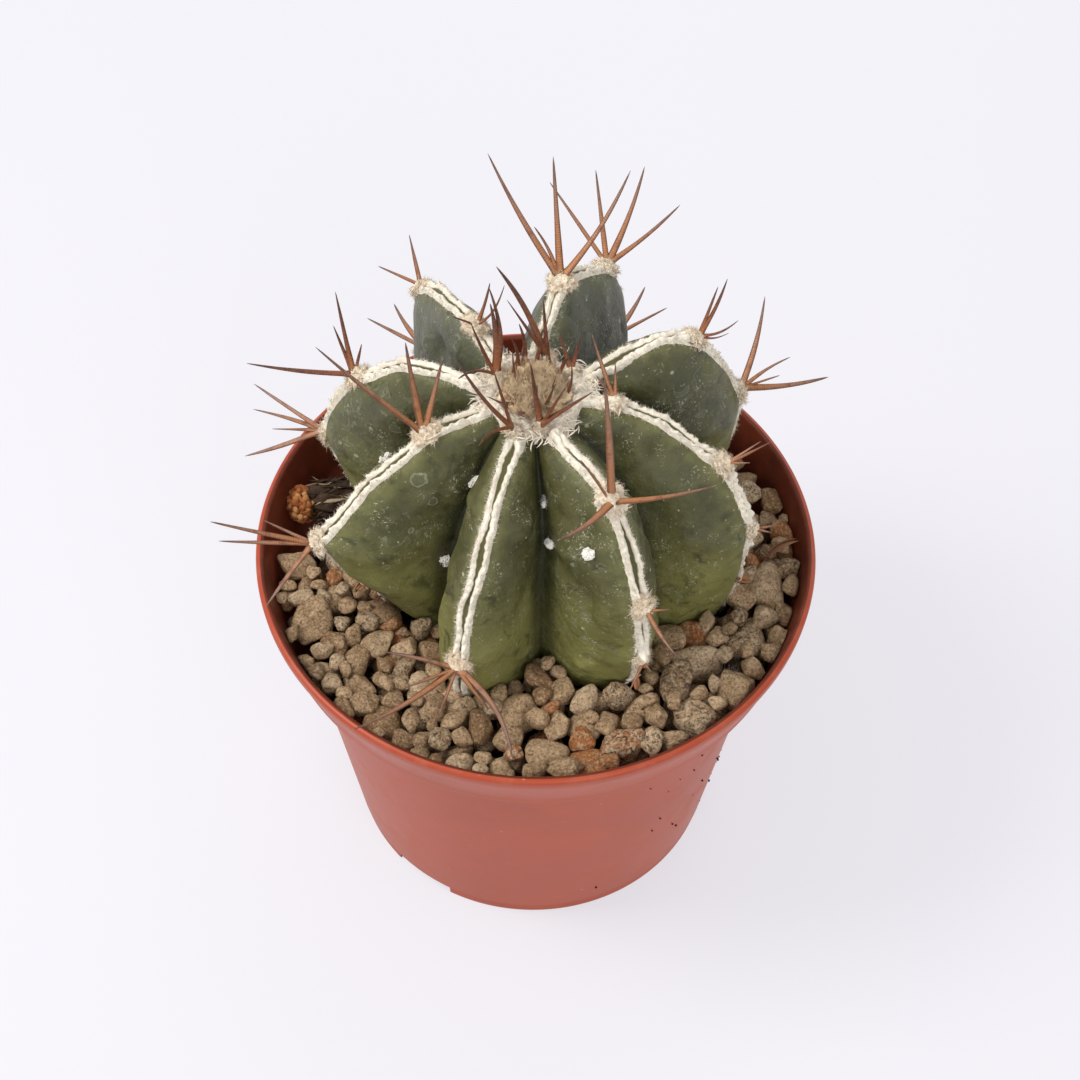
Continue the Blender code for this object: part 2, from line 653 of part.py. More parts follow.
def main():
    clear_scene()
    parts = bpy.data.collections.new(NAME)
    cutters = bpy.data.collections.new("cutters")
    bpy.context.scene.collection.children.link(parts)
    bpy.context.scene.collection.children.link(cutters)

    make_pot(parts, cutters)
    stem = add_object("cactus_stem", make_stem_mesh("cactus_stem"), parts, "stem")
    stem_cutter = add_object("stem_cutter", make_stem_mesh("stem_cutter", GAP), cutters)
    hide_cutter(stem_cutter)
    make_fill(parts, stem_cutter)
    band_cutters = {}
    for rib_name, rib in RIBS.items():
        make_band(rib_name, parts, stem_cutter)
        band_cutters[rib_name] = crest_tube(f"band_cutter_{rib_name}", rib, GAP, cutters)
        hide_cutter(band_cutters[rib_name])
    for name, cluster in CLUSTERS.items():
        rib = RIBS[cluster["rib"]]
        place = cluster["place"]
        make_cluster(f"spines_{name}", crest_point(rib, place), crest_normal(rib, place), cluster,
                     parts, cutters, (stem_cutter, band_cutters[cluster["rib"]]))
    make_crown(parts, cutters, [stem_cutter, *band_cutters.values()])
    make_pebbles(parts, stem, make_debris(parts))


main()
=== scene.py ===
import math

import bmesh
import bpy
import numpy as np
from mathutils import Euler, Matrix, Vector, noise
from mathutils.bvhtree import BVHTree


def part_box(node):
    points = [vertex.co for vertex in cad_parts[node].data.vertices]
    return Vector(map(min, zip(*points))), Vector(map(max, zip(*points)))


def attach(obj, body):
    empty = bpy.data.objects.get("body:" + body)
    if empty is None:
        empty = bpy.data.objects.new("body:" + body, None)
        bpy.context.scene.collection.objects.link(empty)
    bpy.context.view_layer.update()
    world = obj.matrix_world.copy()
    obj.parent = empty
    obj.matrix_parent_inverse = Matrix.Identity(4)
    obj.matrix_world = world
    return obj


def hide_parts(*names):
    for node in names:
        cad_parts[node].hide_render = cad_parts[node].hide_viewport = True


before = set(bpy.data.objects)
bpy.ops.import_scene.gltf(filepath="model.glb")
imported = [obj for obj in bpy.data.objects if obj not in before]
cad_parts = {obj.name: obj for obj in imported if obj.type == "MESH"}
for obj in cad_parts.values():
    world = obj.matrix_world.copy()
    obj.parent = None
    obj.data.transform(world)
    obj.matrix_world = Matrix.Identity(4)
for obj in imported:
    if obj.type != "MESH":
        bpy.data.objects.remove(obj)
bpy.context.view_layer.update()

# everything below is in millimetres of the real plant, scaled by the pot of the frame
potLow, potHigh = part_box("pot")
rimRadius = 52.5
mm = (potHigh[0] - potLow[0]) / 2 / rimRadius
scene = bpy.context.scene
body = "root"


def finishPiece(obj, stands=()):
    # every piece rides on the plant's only body
    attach(obj, body)
    if stands:
        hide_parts(*stands)
    return obj


def meshPiece(name, points, faces, material, attributes=None):
    # points in millimetres, faces as index tuples, attributes as one float for each point
    data = bpy.data.meshes.new(name)
    data.from_pydata((np.asarray(points, float) * mm).tolist(), [], faces)
    data.validate()
    # every closed part of the mesh is turned to face out
    form = bmesh.new()
    form.from_mesh(data)
    bmesh.ops.recalc_face_normals(form, faces=form.faces)
    form.to_mesh(data)
    form.free()
    for label, values in (attributes or {}).items():
        layer = data.attributes.new(label, "FLOAT", "POINT")
        layer.data.foreach_set("value", np.asarray(values, np.float32))
    data.shade_smooth()
    data.materials.append(material)
    obj = bpy.data.objects.new(name, data)
    scene.collection.objects.link(obj)
    return obj


def treeOf(obj):
    # the surface of a piece, in millimetres
    return BVHTree.FromPolygons([v.co / mm for v in obj.data.vertices],
                                [tuple(f.vertices) for f in obj.data.polygons])


def gridFaces(rows, columns, wrap, start=0):
    # quads between neighbouring rows of points; wrap joins the last column to the first
    faces = []
    for row in range(rows - 1):
        for column in range(columns if wrap else columns - 1):
            after = (column + 1) % columns
            faces.append((start + row * columns + column, start + (row + 1) * columns + column,
                          start + (row + 1) * columns + after, start + row * columns + after))
    return faces


def unit(vector):
    return vector / max(np.linalg.norm(vector), 1e-9)


def ringPoint(azimuth, radius, height, centre=(0.0, 0.0)):
    angle = math.radians(azimuth)
    return np.array((centre[0] + radius * math.cos(angle), centre[1] + radius * math.sin(angle), height))


def roughness(point, size, seed=0.0):
    # smooth noise between about -1 and 1, with features of the given size
    return noise.noise(Vector(point) / size + Vector((seed, seed * 0.7, -seed)))


def roughAt(points, size, seed):
    return np.array([roughness(p, size, seed) for p in points])


def endFans(rows, columns, top, bottom, start=0):
    # triangles from the first and the last row of a grid to a point beyond each
    faces = []
    low = start + (rows - 1) * columns
    for column in range(columns):
        after = (column + 1) % columns
        faces.append((top, start + column, start + after))
        faces.append((bottom, low + after, low + column))
    return faces


def tubeFaces(rings, sides):
    # a closed tube of rings
    faces = [tuple(reversed(face)) for face in gridFaces(rings, sides, True)]
    return faces + [tuple(reversed(range(sides))), tuple(range((rings - 1) * sides, rings * sides))]


def nodeBox(name):
    # middle and half size of a CAD node
    low, high = (np.array(corner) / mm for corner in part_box(name))
    return (low + high) / 2, (high - low) / 2


class Bag:
    # collects points, faces and attribute values of many small shapes for one mesh
    def __init__(self, *labels):
        self.points, self.faces, self.count = [], [], 0
        self.values = {label: [] for label in labels}

    def add(self, points, faces, **values):
        self.points.append(points)
        self.faces.extend([tuple(i + self.count for i in face) for face in faces])
        self.count += len(points)
        for label, value in values.items():
            self.values[label].append(np.broadcast_to(np.asarray(value, float), len(points)))

    def piece(self, name, material):
        merged = {label: np.concatenate(value) for label, value in self.values.items() if value}
        return meshPiece(name, np.concatenate(self.points), self.faces, material, merged)

    def finish(self, name, material, slotName, stands=()):
        return finishPiece(self.piece(name, material), stands)


def newMaterial(name, rough=0.6):
    material = bpy.data.materials.new(name)
    material.use_nodes = True
    shader = material.node_tree.nodes["Principled BSDF"]
    shader.inputs["Roughness"].default_value = rough
    return material, material.node_tree, shader


def link(tree, source, target):
    tree.links.new(source, target)


def placeNode(tree, scale=(1, 1, 1)):
    # object coordinates in millimetres
    coord = tree.nodes.new("ShaderNodeTexCoord")
    mapping = tree.nodes.new("ShaderNodeMapping")
    mapping.inputs["Scale"].default_value = [s / mm for s in scale]
    link(tree, coord.outputs["Object"], mapping.inputs["Vector"])
    return mapping.outputs["Vector"]


def noiseNode(tree, vector, size, detail=4.0, rough=0.55, warp=0.0):
    # features about size millimetres across
    node = tree.nodes.new("ShaderNodeTexNoise")
    node.inputs["Scale"].default_value = 1.0 / size
    node.inputs["Detail"].default_value = detail
    node.inputs["Roughness"].default_value = rough
    node.inputs["Distortion"].default_value = warp
    link(tree, vector, node.inputs["Vector"])
    return node.outputs["Fac"]


def noiseColor(tree, vector, size):
    node = tree.nodes.new("ShaderNodeTexNoise")
    node.inputs["Scale"].default_value = 1.0 / size
    link(tree, vector, node.inputs["Vector"])
    return node.outputs["Color"]


def cellNode(tree, vector, size):
    # distance to the middle of the nearest cell
    node = tree.nodes.new("ShaderNodeTexVoronoi")
    node.inputs["Scale"].default_value = 1.0 / size
    link(tree, vector, node.inputs["Vector"])
    return node.outputs["Distance"]


def ramp(tree, source, stops, smooth=False):
    # stops are pairs of a place and a grey value or a colour
    node = tree.nodes.new("ShaderNodeValToRGB")
    node.color_ramp.interpolation = "EASE" if smooth else "LINEAR"
    points = node.color_ramp.elements
    while len(points) < len(stops):
        points.new(0.5)
    for point, (place, value) in zip(points, stops):
        point.position = place
        point.color = (value, value, value, 1) if isinstance(value, (int, float)) else (*value, 1)
    link(tree, source, node.inputs["Fac"])
    return node.outputs["Color"]


def mixColor(tree, amount, first, second):
    node = tree.nodes.new("ShaderNodeMix")
    node.data_type = "RGBA"
    for value, socket in ((amount, node.inputs[0]), (first, node.inputs[6]), (second, node.inputs[7])):
        if isinstance(value, (int, float)):
            socket.default_value = value
        elif isinstance(value, tuple):
            socket.default_value = (*value, 1)
        else:
            link(tree, value, socket)
    return node.outputs[2]


def maths(tree, operation, first, second=0.0):
    node = tree.nodes.new("ShaderNodeMath")
    node.operation = operation
    node.use_clamp = operation in ("ADD", "SUBTRACT", "MULTIPLY")
    for value, socket in ((first, node.inputs[0]), (second, node.inputs[1])):
        if isinstance(value, (int, float)):
            socket.default_value = value
        else:
            link(tree, value, socket)
    return node.outputs[0]


def times(tree, first, second):
    return maths(tree, "MULTIPLY", first, second)


def attribute(tree, label):
    node = tree.nodes.new("ShaderNodeAttribute")
    node.attribute_name = label
    return node.outputs["Fac"]


def bump(tree, shader, height, depth, strength=0.6):
    # depth in millimetres
    node = tree.nodes.new("ShaderNodeBump")
    node.inputs["Strength"].default_value = strength
    node.inputs["Distance"].default_value = depth * mm
    link(tree, height, node.inputs["Height"])
    before = shader.inputs["Normal"].links
    if before:
        link(tree, before[0].from_socket, node.inputs["Normal"])
    link(tree, node.outputs["Normal"], shader.inputs["Normal"])


view = dict(place=(0.0, -301.38, 483.32), down=53.42, aside=0.138, roll=1.11, lens=90.0, film=36.0)


def makeCamera():
    down, aside, roll = (math.radians(view[key]) for key in ("down", "aside", "roll"))
    forward = Vector((math.sin(aside) * math.cos(down), math.cos(aside) * math.cos(down), -math.sin(down)))
    right = Vector((math.cos(aside), -math.sin(aside), 0.0))
    up = right.cross(forward)
    turnedRight = right * math.cos(roll) + up * math.sin(roll)
    turnedUp = up * math.cos(roll) - right * math.sin(roll)
    data = bpy.data.cameras.new("camera")
    data.lens = view["lens"]
    data.sensor_width = view["film"]
    data.clip_start = 0.01
    camera = bpy.data.objects.new("camera", data)
    camera.matrix_world = Matrix.Translation(Vector(view["place"]) * mm) @ Matrix(
        (turnedRight, turnedUp, -forward)).transposed().to_4x4()
    scene.collection.objects.link(camera)
    scene.camera = camera


studio = dict(
    # the paper glows, as on a light table, so that shadows on it stay faint
    floorColor=(0.25, 0.245, 0.255), floorGlow=(0.60, 0.595, 0.63),
    worldColor=(0.97, 0.98, 1.0), worldStrength=0.66,
    # name: place in millimetres, width and height, watts, colour
    lamps=dict(
        keySoftbox=((-380, -60, 560), (240, 240), 2.7, (1.0, 0.985, 0.96)),
        frontFill=((200, -520, 420), (320, 320), 1.1, (1.0, 0.99, 0.98)),
        backStrip=((160, 520, 330), (520, 200), 0.7, (0.96, 0.98, 1.0)),
    ),
)


def makeStudio():
    world = bpy.data.worlds.new("studio")
    world.use_nodes = True
    background = world.node_tree.nodes["Background"]
    background.inputs["Color"].default_value = (*studio["worldColor"], 1)
    background.inputs["Strength"].default_value = studio["worldStrength"]
    scene.world = world
    material, _, shader = newMaterial("studioPaper", 0.85)
    shader.inputs["Base Color"].default_value = (*studio["floorColor"], 1)
    shader.inputs["Specular IOR Level"].default_value = 0.1
    shader.inputs["Emission Color"].default_value = (*studio["floorGlow"], 1)
    shader.inputs["Emission Strength"].default_value = 1.0
    size = 4000.0
    floor = meshPiece("floor", [(-size, -size, 0), (size, -size, 0), (size, size, 0), (-size, size, 0)],
                      [(0, 1, 2, 3)], material)
    target = Vector((0, 0, 60)) * mm
    for name, (place, extent, watts, color) in studio["lamps"].items():
        data = bpy.data.lights.new(name, "AREA")
        data.shape = "RECTANGLE"
        data.size, data.size_y = extent[0] * mm, extent[1] * mm
        data.energy = watts
        data.color = color
        lamp = bpy.data.objects.new(name, data)
        lamp.location = Vector(place) * mm
        lamp.rotation_euler = (target - lamp.location).to_track_quat("-Z", "Y").to_euler()
        scene.collection.objects.link(lamp)
    scene.view_settings.view_transform = "Standard"
    scene.view_settings.look = "None"


pot = dict(
    height=76.1, collarRadius=49.2, collarHeight=64.4, wallRadius=45.2, wallHeight=61.2, baseRadius=36.1,
    wall=1.3, floorUnder=2.6, floorTop=4.2, padRadius=8.6, ringWidth=2.6, steps=256,
    holes=6, holeRadius=3.5, holeCircle=22.0, notches=(-127, -7, 113), notchWidth=13.0, notchHeight=2.2,
    clay=(0.362, 0.055, 0.0170), lip=(0.37, 0.055, 0.020), dust=(0.49, 0.175, 0.105),
           scratch=(0.68, 0.36, 0.26),
)


def arc(cx, cz, radius, start, end, count):
    return [(cx + radius * math.cos(math.radians(start + (end - start) * i / (count - 1))),
             cz + radius * math.sin(math.radians(start + (end - start) * i / (count - 1))))
            for i in range(count)]


def potProfile():
    # from the middle of the floor inside, up over the rim and down the outside
    p = pot
    inner = p["baseRadius"] - p["wall"]
    rimMiddle = rimRadius - 0.85
    step = p["collarHeight"]
    return [(0, p["floorTop"]), (12, p["floorTop"]), (inner - 2.0, p["floorTop"]),
            *arc(inner - 2.0, p["floorTop"] + 2.0, 2.0, -80, 0, 5),
            (inner + 4.6, 34), (p["wallRadius"] - p["wall"], p["wallHeight"] + 0.6),
            (p["collarRadius"] - p["wall"] - 0.5, step - 0.6), (p["collarRadius"] - p["wall"], step + 0.6),
            (rimRadius - 2.2, p["height"] - 2.6),
            *arc(rimMiddle, p["height"] - 0.85, 0.85, 170, -10, 12),
            (rimRadius - 0.15, p["height"] - 2.2), (rimRadius - 0.75, p["height"] - 3.6),
            (rimRadius - 1.9, p["height"] - 7.2),
            (p["collarRadius"] + 0.25, step + 0.9),
            *arc(p["collarRadius"] - 0.6, step + 0.1, 0.8, -10, -75, 5),
            *arc(p["wallRadius"] + 2.2, p["wallHeight"] - 0.5, 2.1, 100, 176, 8),
            (p["wallRadius"] - 1.9, 48), (p["baseRadius"] + 4.6, 31), (p["baseRadius"] + 0.62, 4.0),
            (p["baseRadius"] + 0.5, 3.1), (p["baseRadius"] + 0.12, 2.8), (p["baseRadius"], 1.0),
            *arc(p["baseRadius"] - 0.45, 0.45, 0.45, 0, -90, 5),
            (p["baseRadius"] - p["ringWidth"] + 0.3, 0), (p["baseRadius"] - p["ringWidth"], 0.4),
            (p["baseRadius"] - p["ringWidth"] - 0.4, p["floorUnder"]), (14, p["floorUnder"]),
            (p["padRadius"] + 0.4, p["floorUnder"]), (p["padRadius"], 0.3), (p["padRadius"] - 0.3, 0), (0, 0)]


def potMaterial():
    material, tree, shader = newMaterial("terracottaPlastic", 0.42)
    vector = placeNode(tree)
    flat = placeNode(tree, (0.35, 0.35, 5.0))
    cloud = noiseNode(tree, vector, 22, 3)
    fine = noiseNode(tree, vector, 0.45, 5, 0.7)
    color = mixColor(tree, ramp(tree, cloud, [(0.3, 0.0), (0.7, 1.0)]), pot["clay"],
                     tuple(c * 1.13 for c in pot["clay"]))
    # the lip is glossier and redder where hands rub it
    height = tree.nodes.new("ShaderNodeSeparateXYZ")
    link(tree, vector, height.inputs[0])
    lipMask = ramp(tree, maths(tree, "DIVIDE", height.outputs[2], 100.0), [(0.742, 0.0), (0.757, 1.0)])
    color = mixColor(tree, times(tree, lipMask, 0.75), color, pot["lip"])
    # pale scratches run round the pot, dust lies in soft clouds
    lines = noiseNode(tree, flat, 2.4, 6, 0.75)
    breaks = noiseNode(tree, vector, 7, 2)
    scratches = times(tree, ramp(tree, lines, [(0.60, 0.0), (0.67, 1.0)]),
                      ramp(tree, breaks, [(0.46, 0.0), (0.62, 1.0)]))
    color = mixColor(tree, times(tree, scratches, 0.38), color, pot["scratch"])
    dust = ramp(tree, noiseNode(tree, vector, 9, 6, 0.7), [(0.5, 0.0), (0.78, 1.0)])
    color = mixColor(tree, times(tree, dust, 0.45), color, pot["dust"])
    scuffs = times(tree, ramp(tree, cellNode(tree, placeNode(tree, (1, 1, 2.2)), 5.5),
                              [(0.03, 1.0), (0.07, 0.0)]),
                   ramp(tree, noiseNode(tree, vector, 4, 2), [(0.5, 0.0), (0.6, 1.0)]))
    color = mixColor(tree, times(tree, scuffs, 0.6), color, pot["scratch"])
    # the inside is painted darker: painted shade on the inner wall, stronger in patches
    place = tree.nodes.new("ShaderNodeNewGeometry")
    flatPlace = tree.nodes.new("ShaderNodeVectorMath")
    flatPlace.operation = "MULTIPLY"
    flatPlace.inputs[1].default_value = (1, 1, 0)
    link(tree, place.outputs["Position"], flatPlace.inputs[0])
    facing = tree.nodes.new("ShaderNodeVectorMath")
    facing.operation = "DOT_PRODUCT"
    link(tree, flatPlace.outputs[0], facing.inputs[0])
    link(tree, place.outputs["True Normal"], facing.inputs[1])
    inside = maths(tree, "LESS_THAN", facing.outputs["Value"], -0.004)
    innerShade = ramp(tree, noiseNode(tree, vector, 6, 5, 0.65), [(0.3, 0.65), (0.7, 0.95)])
    color = mixColor(tree, times(tree, inside, innerShade), color, (0.080, 0.017, 0.009))
    link(tree, color, shader.inputs["Base Color"])
    gloss = ramp(tree, maths(tree, "ADD", scratches, dust), [(0.0, 0.40), (1.0, 0.62)])
    link(tree, gloss, shader.inputs["Roughness"])
    shader.inputs["Specular IOR Level"].default_value = 0.34
    bump(tree, shader, fine, 0.03, 0.35)
    bump(tree, shader, scratches, 0.05, 0.5)
    return material


def makePot():
    profile = np.array(potProfile(), float)
    steps = pot["steps"]
    angles = np.linspace(0, 2 * math.pi, steps, endpoint=False)
    inner = profile[1:-1]
    points = [np.array((0.0, 0.0, profile[0][1]))]
    for radius, height in inner:
        for angle in angles:
            points.append(np.array((radius * math.cos(angle), radius * math.sin(angle), height)))
    points.append(np.array((0.0, 0.0, profile[-1][1])))
    faces = gridFaces(len(inner), steps, True, 1)
    faces += endFans(len(inner), steps, 0, len(points) - 1, 1)
    data = bpy.data.meshes.new("potCutter")
    form = bmesh.new()
    for hole in range(pot["holes"]):
        angle = 2 * math.pi * (hole + 0.5) / pot["holes"]
        bmesh.ops.create_cone(form, cap_ends=True, segments=48, radius1=pot["holeRadius"] * mm,
                              radius2=pot["holeRadius"] * mm, depth=8 * mm, matrix=Matrix.Translation(
                                  (pot["holeCircle"] * mm * math.cos(angle),
                                   pot["holeCircle"] * mm * math.sin(angle), pot["floorTop"] * mm)))
    for notch in pot["notches"]:
        middle = pot["baseRadius"] - pot["ringWidth"] / 2
        bmesh.ops.create_cube(form, size=1.0, matrix=Matrix.Rotation(math.radians(notch), 4, "Z")
                              @ Matrix.Translation((middle * mm, 0, 0))
                              @ Matrix.Diagonal((5 * mm, pot["notchWidth"] * mm,
                                                 2 * pot["notchHeight"] * mm, 1)))
    form.to_mesh(data)
    form.free()
    cutter = bpy.data.objects.new("potCutter", data)
    scene.collection.objects.link(cutter)
    plain = meshPiece("potShell", points, faces, potMaterial())
    applyModifier(plain, "BOOLEAN", object=cutter, operation="DIFFERENCE", solver="EXACT")
    bpy.data.objects.remove(cutter, do_unlink=True)
    plain.data.set_sharp_from_angle(angle=math.radians(40))
    return finishPiece(plain, ["pot"])


def applyModifier(obj, kind, **settings):
    modifier = obj.modifiers.new(kind.lower(), kind)
    for key, value in settings.items():
        setattr(modifier, key, value)
    graph = bpy.context.evaluated_depsgraph_get()
    data = bpy.data.meshes.new_from_object(obj.evaluated_get(graph))
    obj.modifiers.clear()
    obj.data = data


cactus = dict(
    centre=(-1.0, 0.5), crown=117.0, crownRadius=8.0, crownLift=0.5, foot=68.0, buried=56.0,
    buriedShare=0.6, root=50.0, valley=((0, 117), (8, 114.5), (15, 103), (19, 88), (21, 68), (14, 57),
                                        (0, 50)),
    crestHalfWidth=1.8, crestDrop=0.45, flankBulge=0.11, rowsPerSpan=(10, 34, 56, 46, 10, 6), flankColumns=15,
    dimples=46, knobs=40, dimpleDepth=1.5, seed=5,
    # old scars as azimuth, radius, height and size
    scars=((-151, 22.5, 108.5, 1.5), (-144, 21.5, 104.5, 1.0), (-147, 25.5, 98.0, 0.8),
           (-71, 24.5, 101.5, 1.1),
           (-12, 30.0, 105.0, 1.3), (40, 30.0, 108.0, 1.1), (170, 25.0, 104.0, 1.3)),
)
# azimuth at the crown, shoulder, nose and foot; shoulder and nose as radius and height; foot as a
# radius; pointed noses have a low round; valley widens the valley after the rib; blue is how much
# painted bluish reflection the rib carries
ribs = dict(
    front_left=dict(azimuth=(-107, -109, -112, -112), shoulder=(21, 111), nose=(33, 83), foot=31.5,
                    round=1.0, valley=1.0, blue=0.0),
    front_right=dict(azimuth=(-62, -56, -56, -56), shoulder=(24, 115), nose=(35, 96), foot=32,
                     round=1.0, valley=1.2, blue=0.0),
    right=dict(azimuth=(3, -5, -11, -14), shoulder=(25, 113), nose=(39, 97), foot=36.5,
               round=1.0, valley=1.1, blue=0.05),
    right_back=dict(azimuth=(31, 28, 28, 28), shoulder=(28, 120), nose=(42, 97), foot=35,
                    round=1.0, valley=1.05, blue=0.15),
    back=dict(azimuth=(85, 79, 68, 68), shoulder=(23, 122.5), nose=(37, 111), foot=32,
              round=1.0, valley=1.05, blue=1.0),
    back_left=dict(azimuth=(126, 124, 122, 122), shoulder=(25, 118.5), nose=(39, 107), foot=32,
                   round=1.0, valley=1.05, blue=0.9),
    left_back=dict(azimuth=(158, 158, 158, 158), shoulder=(26, 114.5), nose=(40.5, 94), foot=31,
                   round=1.0, valley=1.0, blue=0.25),
    left=dict(azimuth=(196, 198, 200, 200), shoulder=(20, 114), nose=(39.5, 93), foot=26,
              round=0.5, valley=1.0, blue=0.0),
)


def smoothLine(keys, places, roundness=1.0):
    # a smooth line through the keys, read at places that count the keys from 0
    keys = np.array(keys, float)
    lengths = np.linalg.norm(np.diff(keys[:, :2], axis=0), axis=1)
    slopes = np.empty_like(keys)
    slopes[0] = (keys[1] - keys[0]) / lengths[0]
    slopes[-1] = (keys[-1] - keys[-2]) / lengths[-1]
    slopes[1:-1] = (keys[2:] - keys[:-2]) / (lengths[:-1] + lengths[1:])[:, None]
    slopes[3] *= roundness
    places = np.asarray(places, float)
    span = np.minimum(places.astype(int), len(keys) - 2)
    t = (places - span)[:, None]
    reach = lengths[span][:, None]
    return ((2 * t**3 - 3 * t**2 + 1) * keys[span] + (t**3 - 2 * t**2 + t) * reach * slopes[span]
            + (3 * t**2 - 2 * t**3) * keys[span + 1] + (t**3 - t**2) * reach * slopes[span + 1])


def crestKeys(rib):
    at = rib["azimuth"]
    return [(0, cactus["crown"], at[0]),
            (cactus["crownRadius"], cactus["crown"] + cactus["crownLift"], at[0]),
            (*rib["shoulder"], at[1]), (*rib["nose"], at[2]), (rib["foot"], cactus["foot"], at[3]),
            (rib["foot"] * cactus["buriedShare"], cactus["buried"], at[3]), (0, cactus["root"], at[3])]


def spread(line):
    # radius, height and azimuth rows to points
    angle = np.radians(line[:, 2])
    return np.stack((cactus["centre"][0] + line[:, 0] * np.cos(angle),
                     cactus["centre"][1] + line[:, 0] * np.sin(angle), line[:, 1]), 1)


def areoleSwell(name, places):
    # the crest rises a little under each cushion
    swell = np.zeros(len(places))
    for cluster in clusters.values():
        if cluster["rib"] == name:
            swell += 0.7 * np.exp(-((places - cluster["place"]) / 0.13)**2)
    return swell


def crestFrame(name, places):
    # points on a crest with the directions out, along and across it
    rib = ribs[name]
    places = np.asarray(places, float)
    line = spread(smoothLine(crestKeys(rib), places, rib["round"]))
    step = 0.02
    before = spread(smoothLine(crestKeys(rib), np.maximum(places - step, 0.0), rib["round"]))
    behind = spread(smoothLine(crestKeys(rib), np.minimum(places + step, 6.0), rib["round"]))
    along = behind - before
    along /= np.linalg.norm(along, axis=1)[:, None]
    out = line - np.array((*cactus["centre"], cactus["foot"]))
    out -= along * (out * along).sum(1)[:, None]
    out /= np.maximum(np.linalg.norm(out, axis=1), 1e-6)[:, None]
    fade = np.clip(places - 0.6, 0, 1) * np.clip(4.4 - places, 0, 1)
    line = line + out * (areoleSwell(name, places) * fade)[:, None]
    across = np.cross(along, out)
    wobble = roughAt(line, 9.0, 3.0) * 0.8 * fade
    return line + across * wobble[:, None], out, along, across


def rowPlaces():
    places = [0.0]
    for span, rows in enumerate(cactus["rowsPerSpan"]):
        places += [span + (row + 1) / rows for row in range(rows)]
    return np.array(places)


def stemGrid():
    # columns of points from crest to crest, with how near the crest and how blue each point is
    names = list(ribs)
    places = rowPlaces()
    crests = {name: crestFrame(name, places) for name in names}
    flat = {name: smoothLine(crestKeys(ribs[name]), places, ribs[name]["round"]) for name in names}
    columns, nearCrest, blue = [], [], []

    def addColumn(points, near, tint):
        columns.append(points)
        nearCrest.append(np.full(len(places), float(near)))
        blue.append(np.full(len(places), tint))

    for index, name in enumerate(names):
        other = names[(index + 1) % len(names)]
        turn = 360 if index == len(names) - 1 else 0
        wide = ribs[name]["valley"]
        middle = [(a[2] + b[2] + turn) / 2 for a, b in zip(crestKeys(ribs[name]), crestKeys(ribs[other]))]
        low = smoothLine([(r * wide, z, a) for (r, z), a in zip(cactus["valley"], middle)], places)
        valley = spread(low)
        half = {}
        for rib, sign, shift in ((name, 1, 0), (other, -1, turn)):
            crest = crests[rib][0]
            angle = np.radians(flat[rib][:, 2])
            aside = np.stack((-np.sin(angle), np.cos(angle), 0 * angle), 1) * sign
            reach = np.linalg.norm(crest - valley, axis=1)
            room = flat[rib][:, 0] * np.radians(np.abs(low[:, 2] - flat[rib][:, 2] - shift))
            width = np.minimum(np.minimum(cactus["crestHalfWidth"], reach * 0.4), room * 0.3)
            inward = (valley - crest) / np.maximum(reach, 1e-6)[:, None]
            drop = cactus["crestDrop"] * width / cactus["crestHalfWidth"]
            steps = []
            for share in (0.36, 0.72, 1.0):
                steps.append(crest + aside * (width * share)[:, None] + inward * (drop * share**2)[:, None])
            edge = steps[-1]
            bulge = np.minimum(reach * cactus["flankBulge"], room * 0.15)
            for i in range(1, cactus["flankColumns"] + 1):
                q = i / (cactus["flankColumns"] + 1)
                # the flank first turns over the edge and then runs in to the valley
                q = q**1.15
                curl = math.sin(math.pi * q) + 0.25 * math.sin(2 * math.pi * q)
                steps.append(edge + (valley - edge) * q + aside * (bulge * curl)[:, None])
            half[sign] = steps
        count = cactus["flankColumns"] + 3
        addColumn(crests[name][0], 1, ribs[name]["blue"])
        for i, points in enumerate(half[1]):
            addColumn(points, 1 - (i + 1) / (count + 1), ribs[name]["blue"])
        addColumn(valley, 0, (ribs[name]["blue"] + ribs[other]["blue"]) / 2)
        for i in range(count - 1, -1, -1):
            addColumn(half[-1][i], 1 - (i + 1) / (count + 1), ribs[other]["blue"])
    grid = np.stack(columns, 1)
    return grid, np.stack(nearCrest, 1), np.stack(blue, 1)


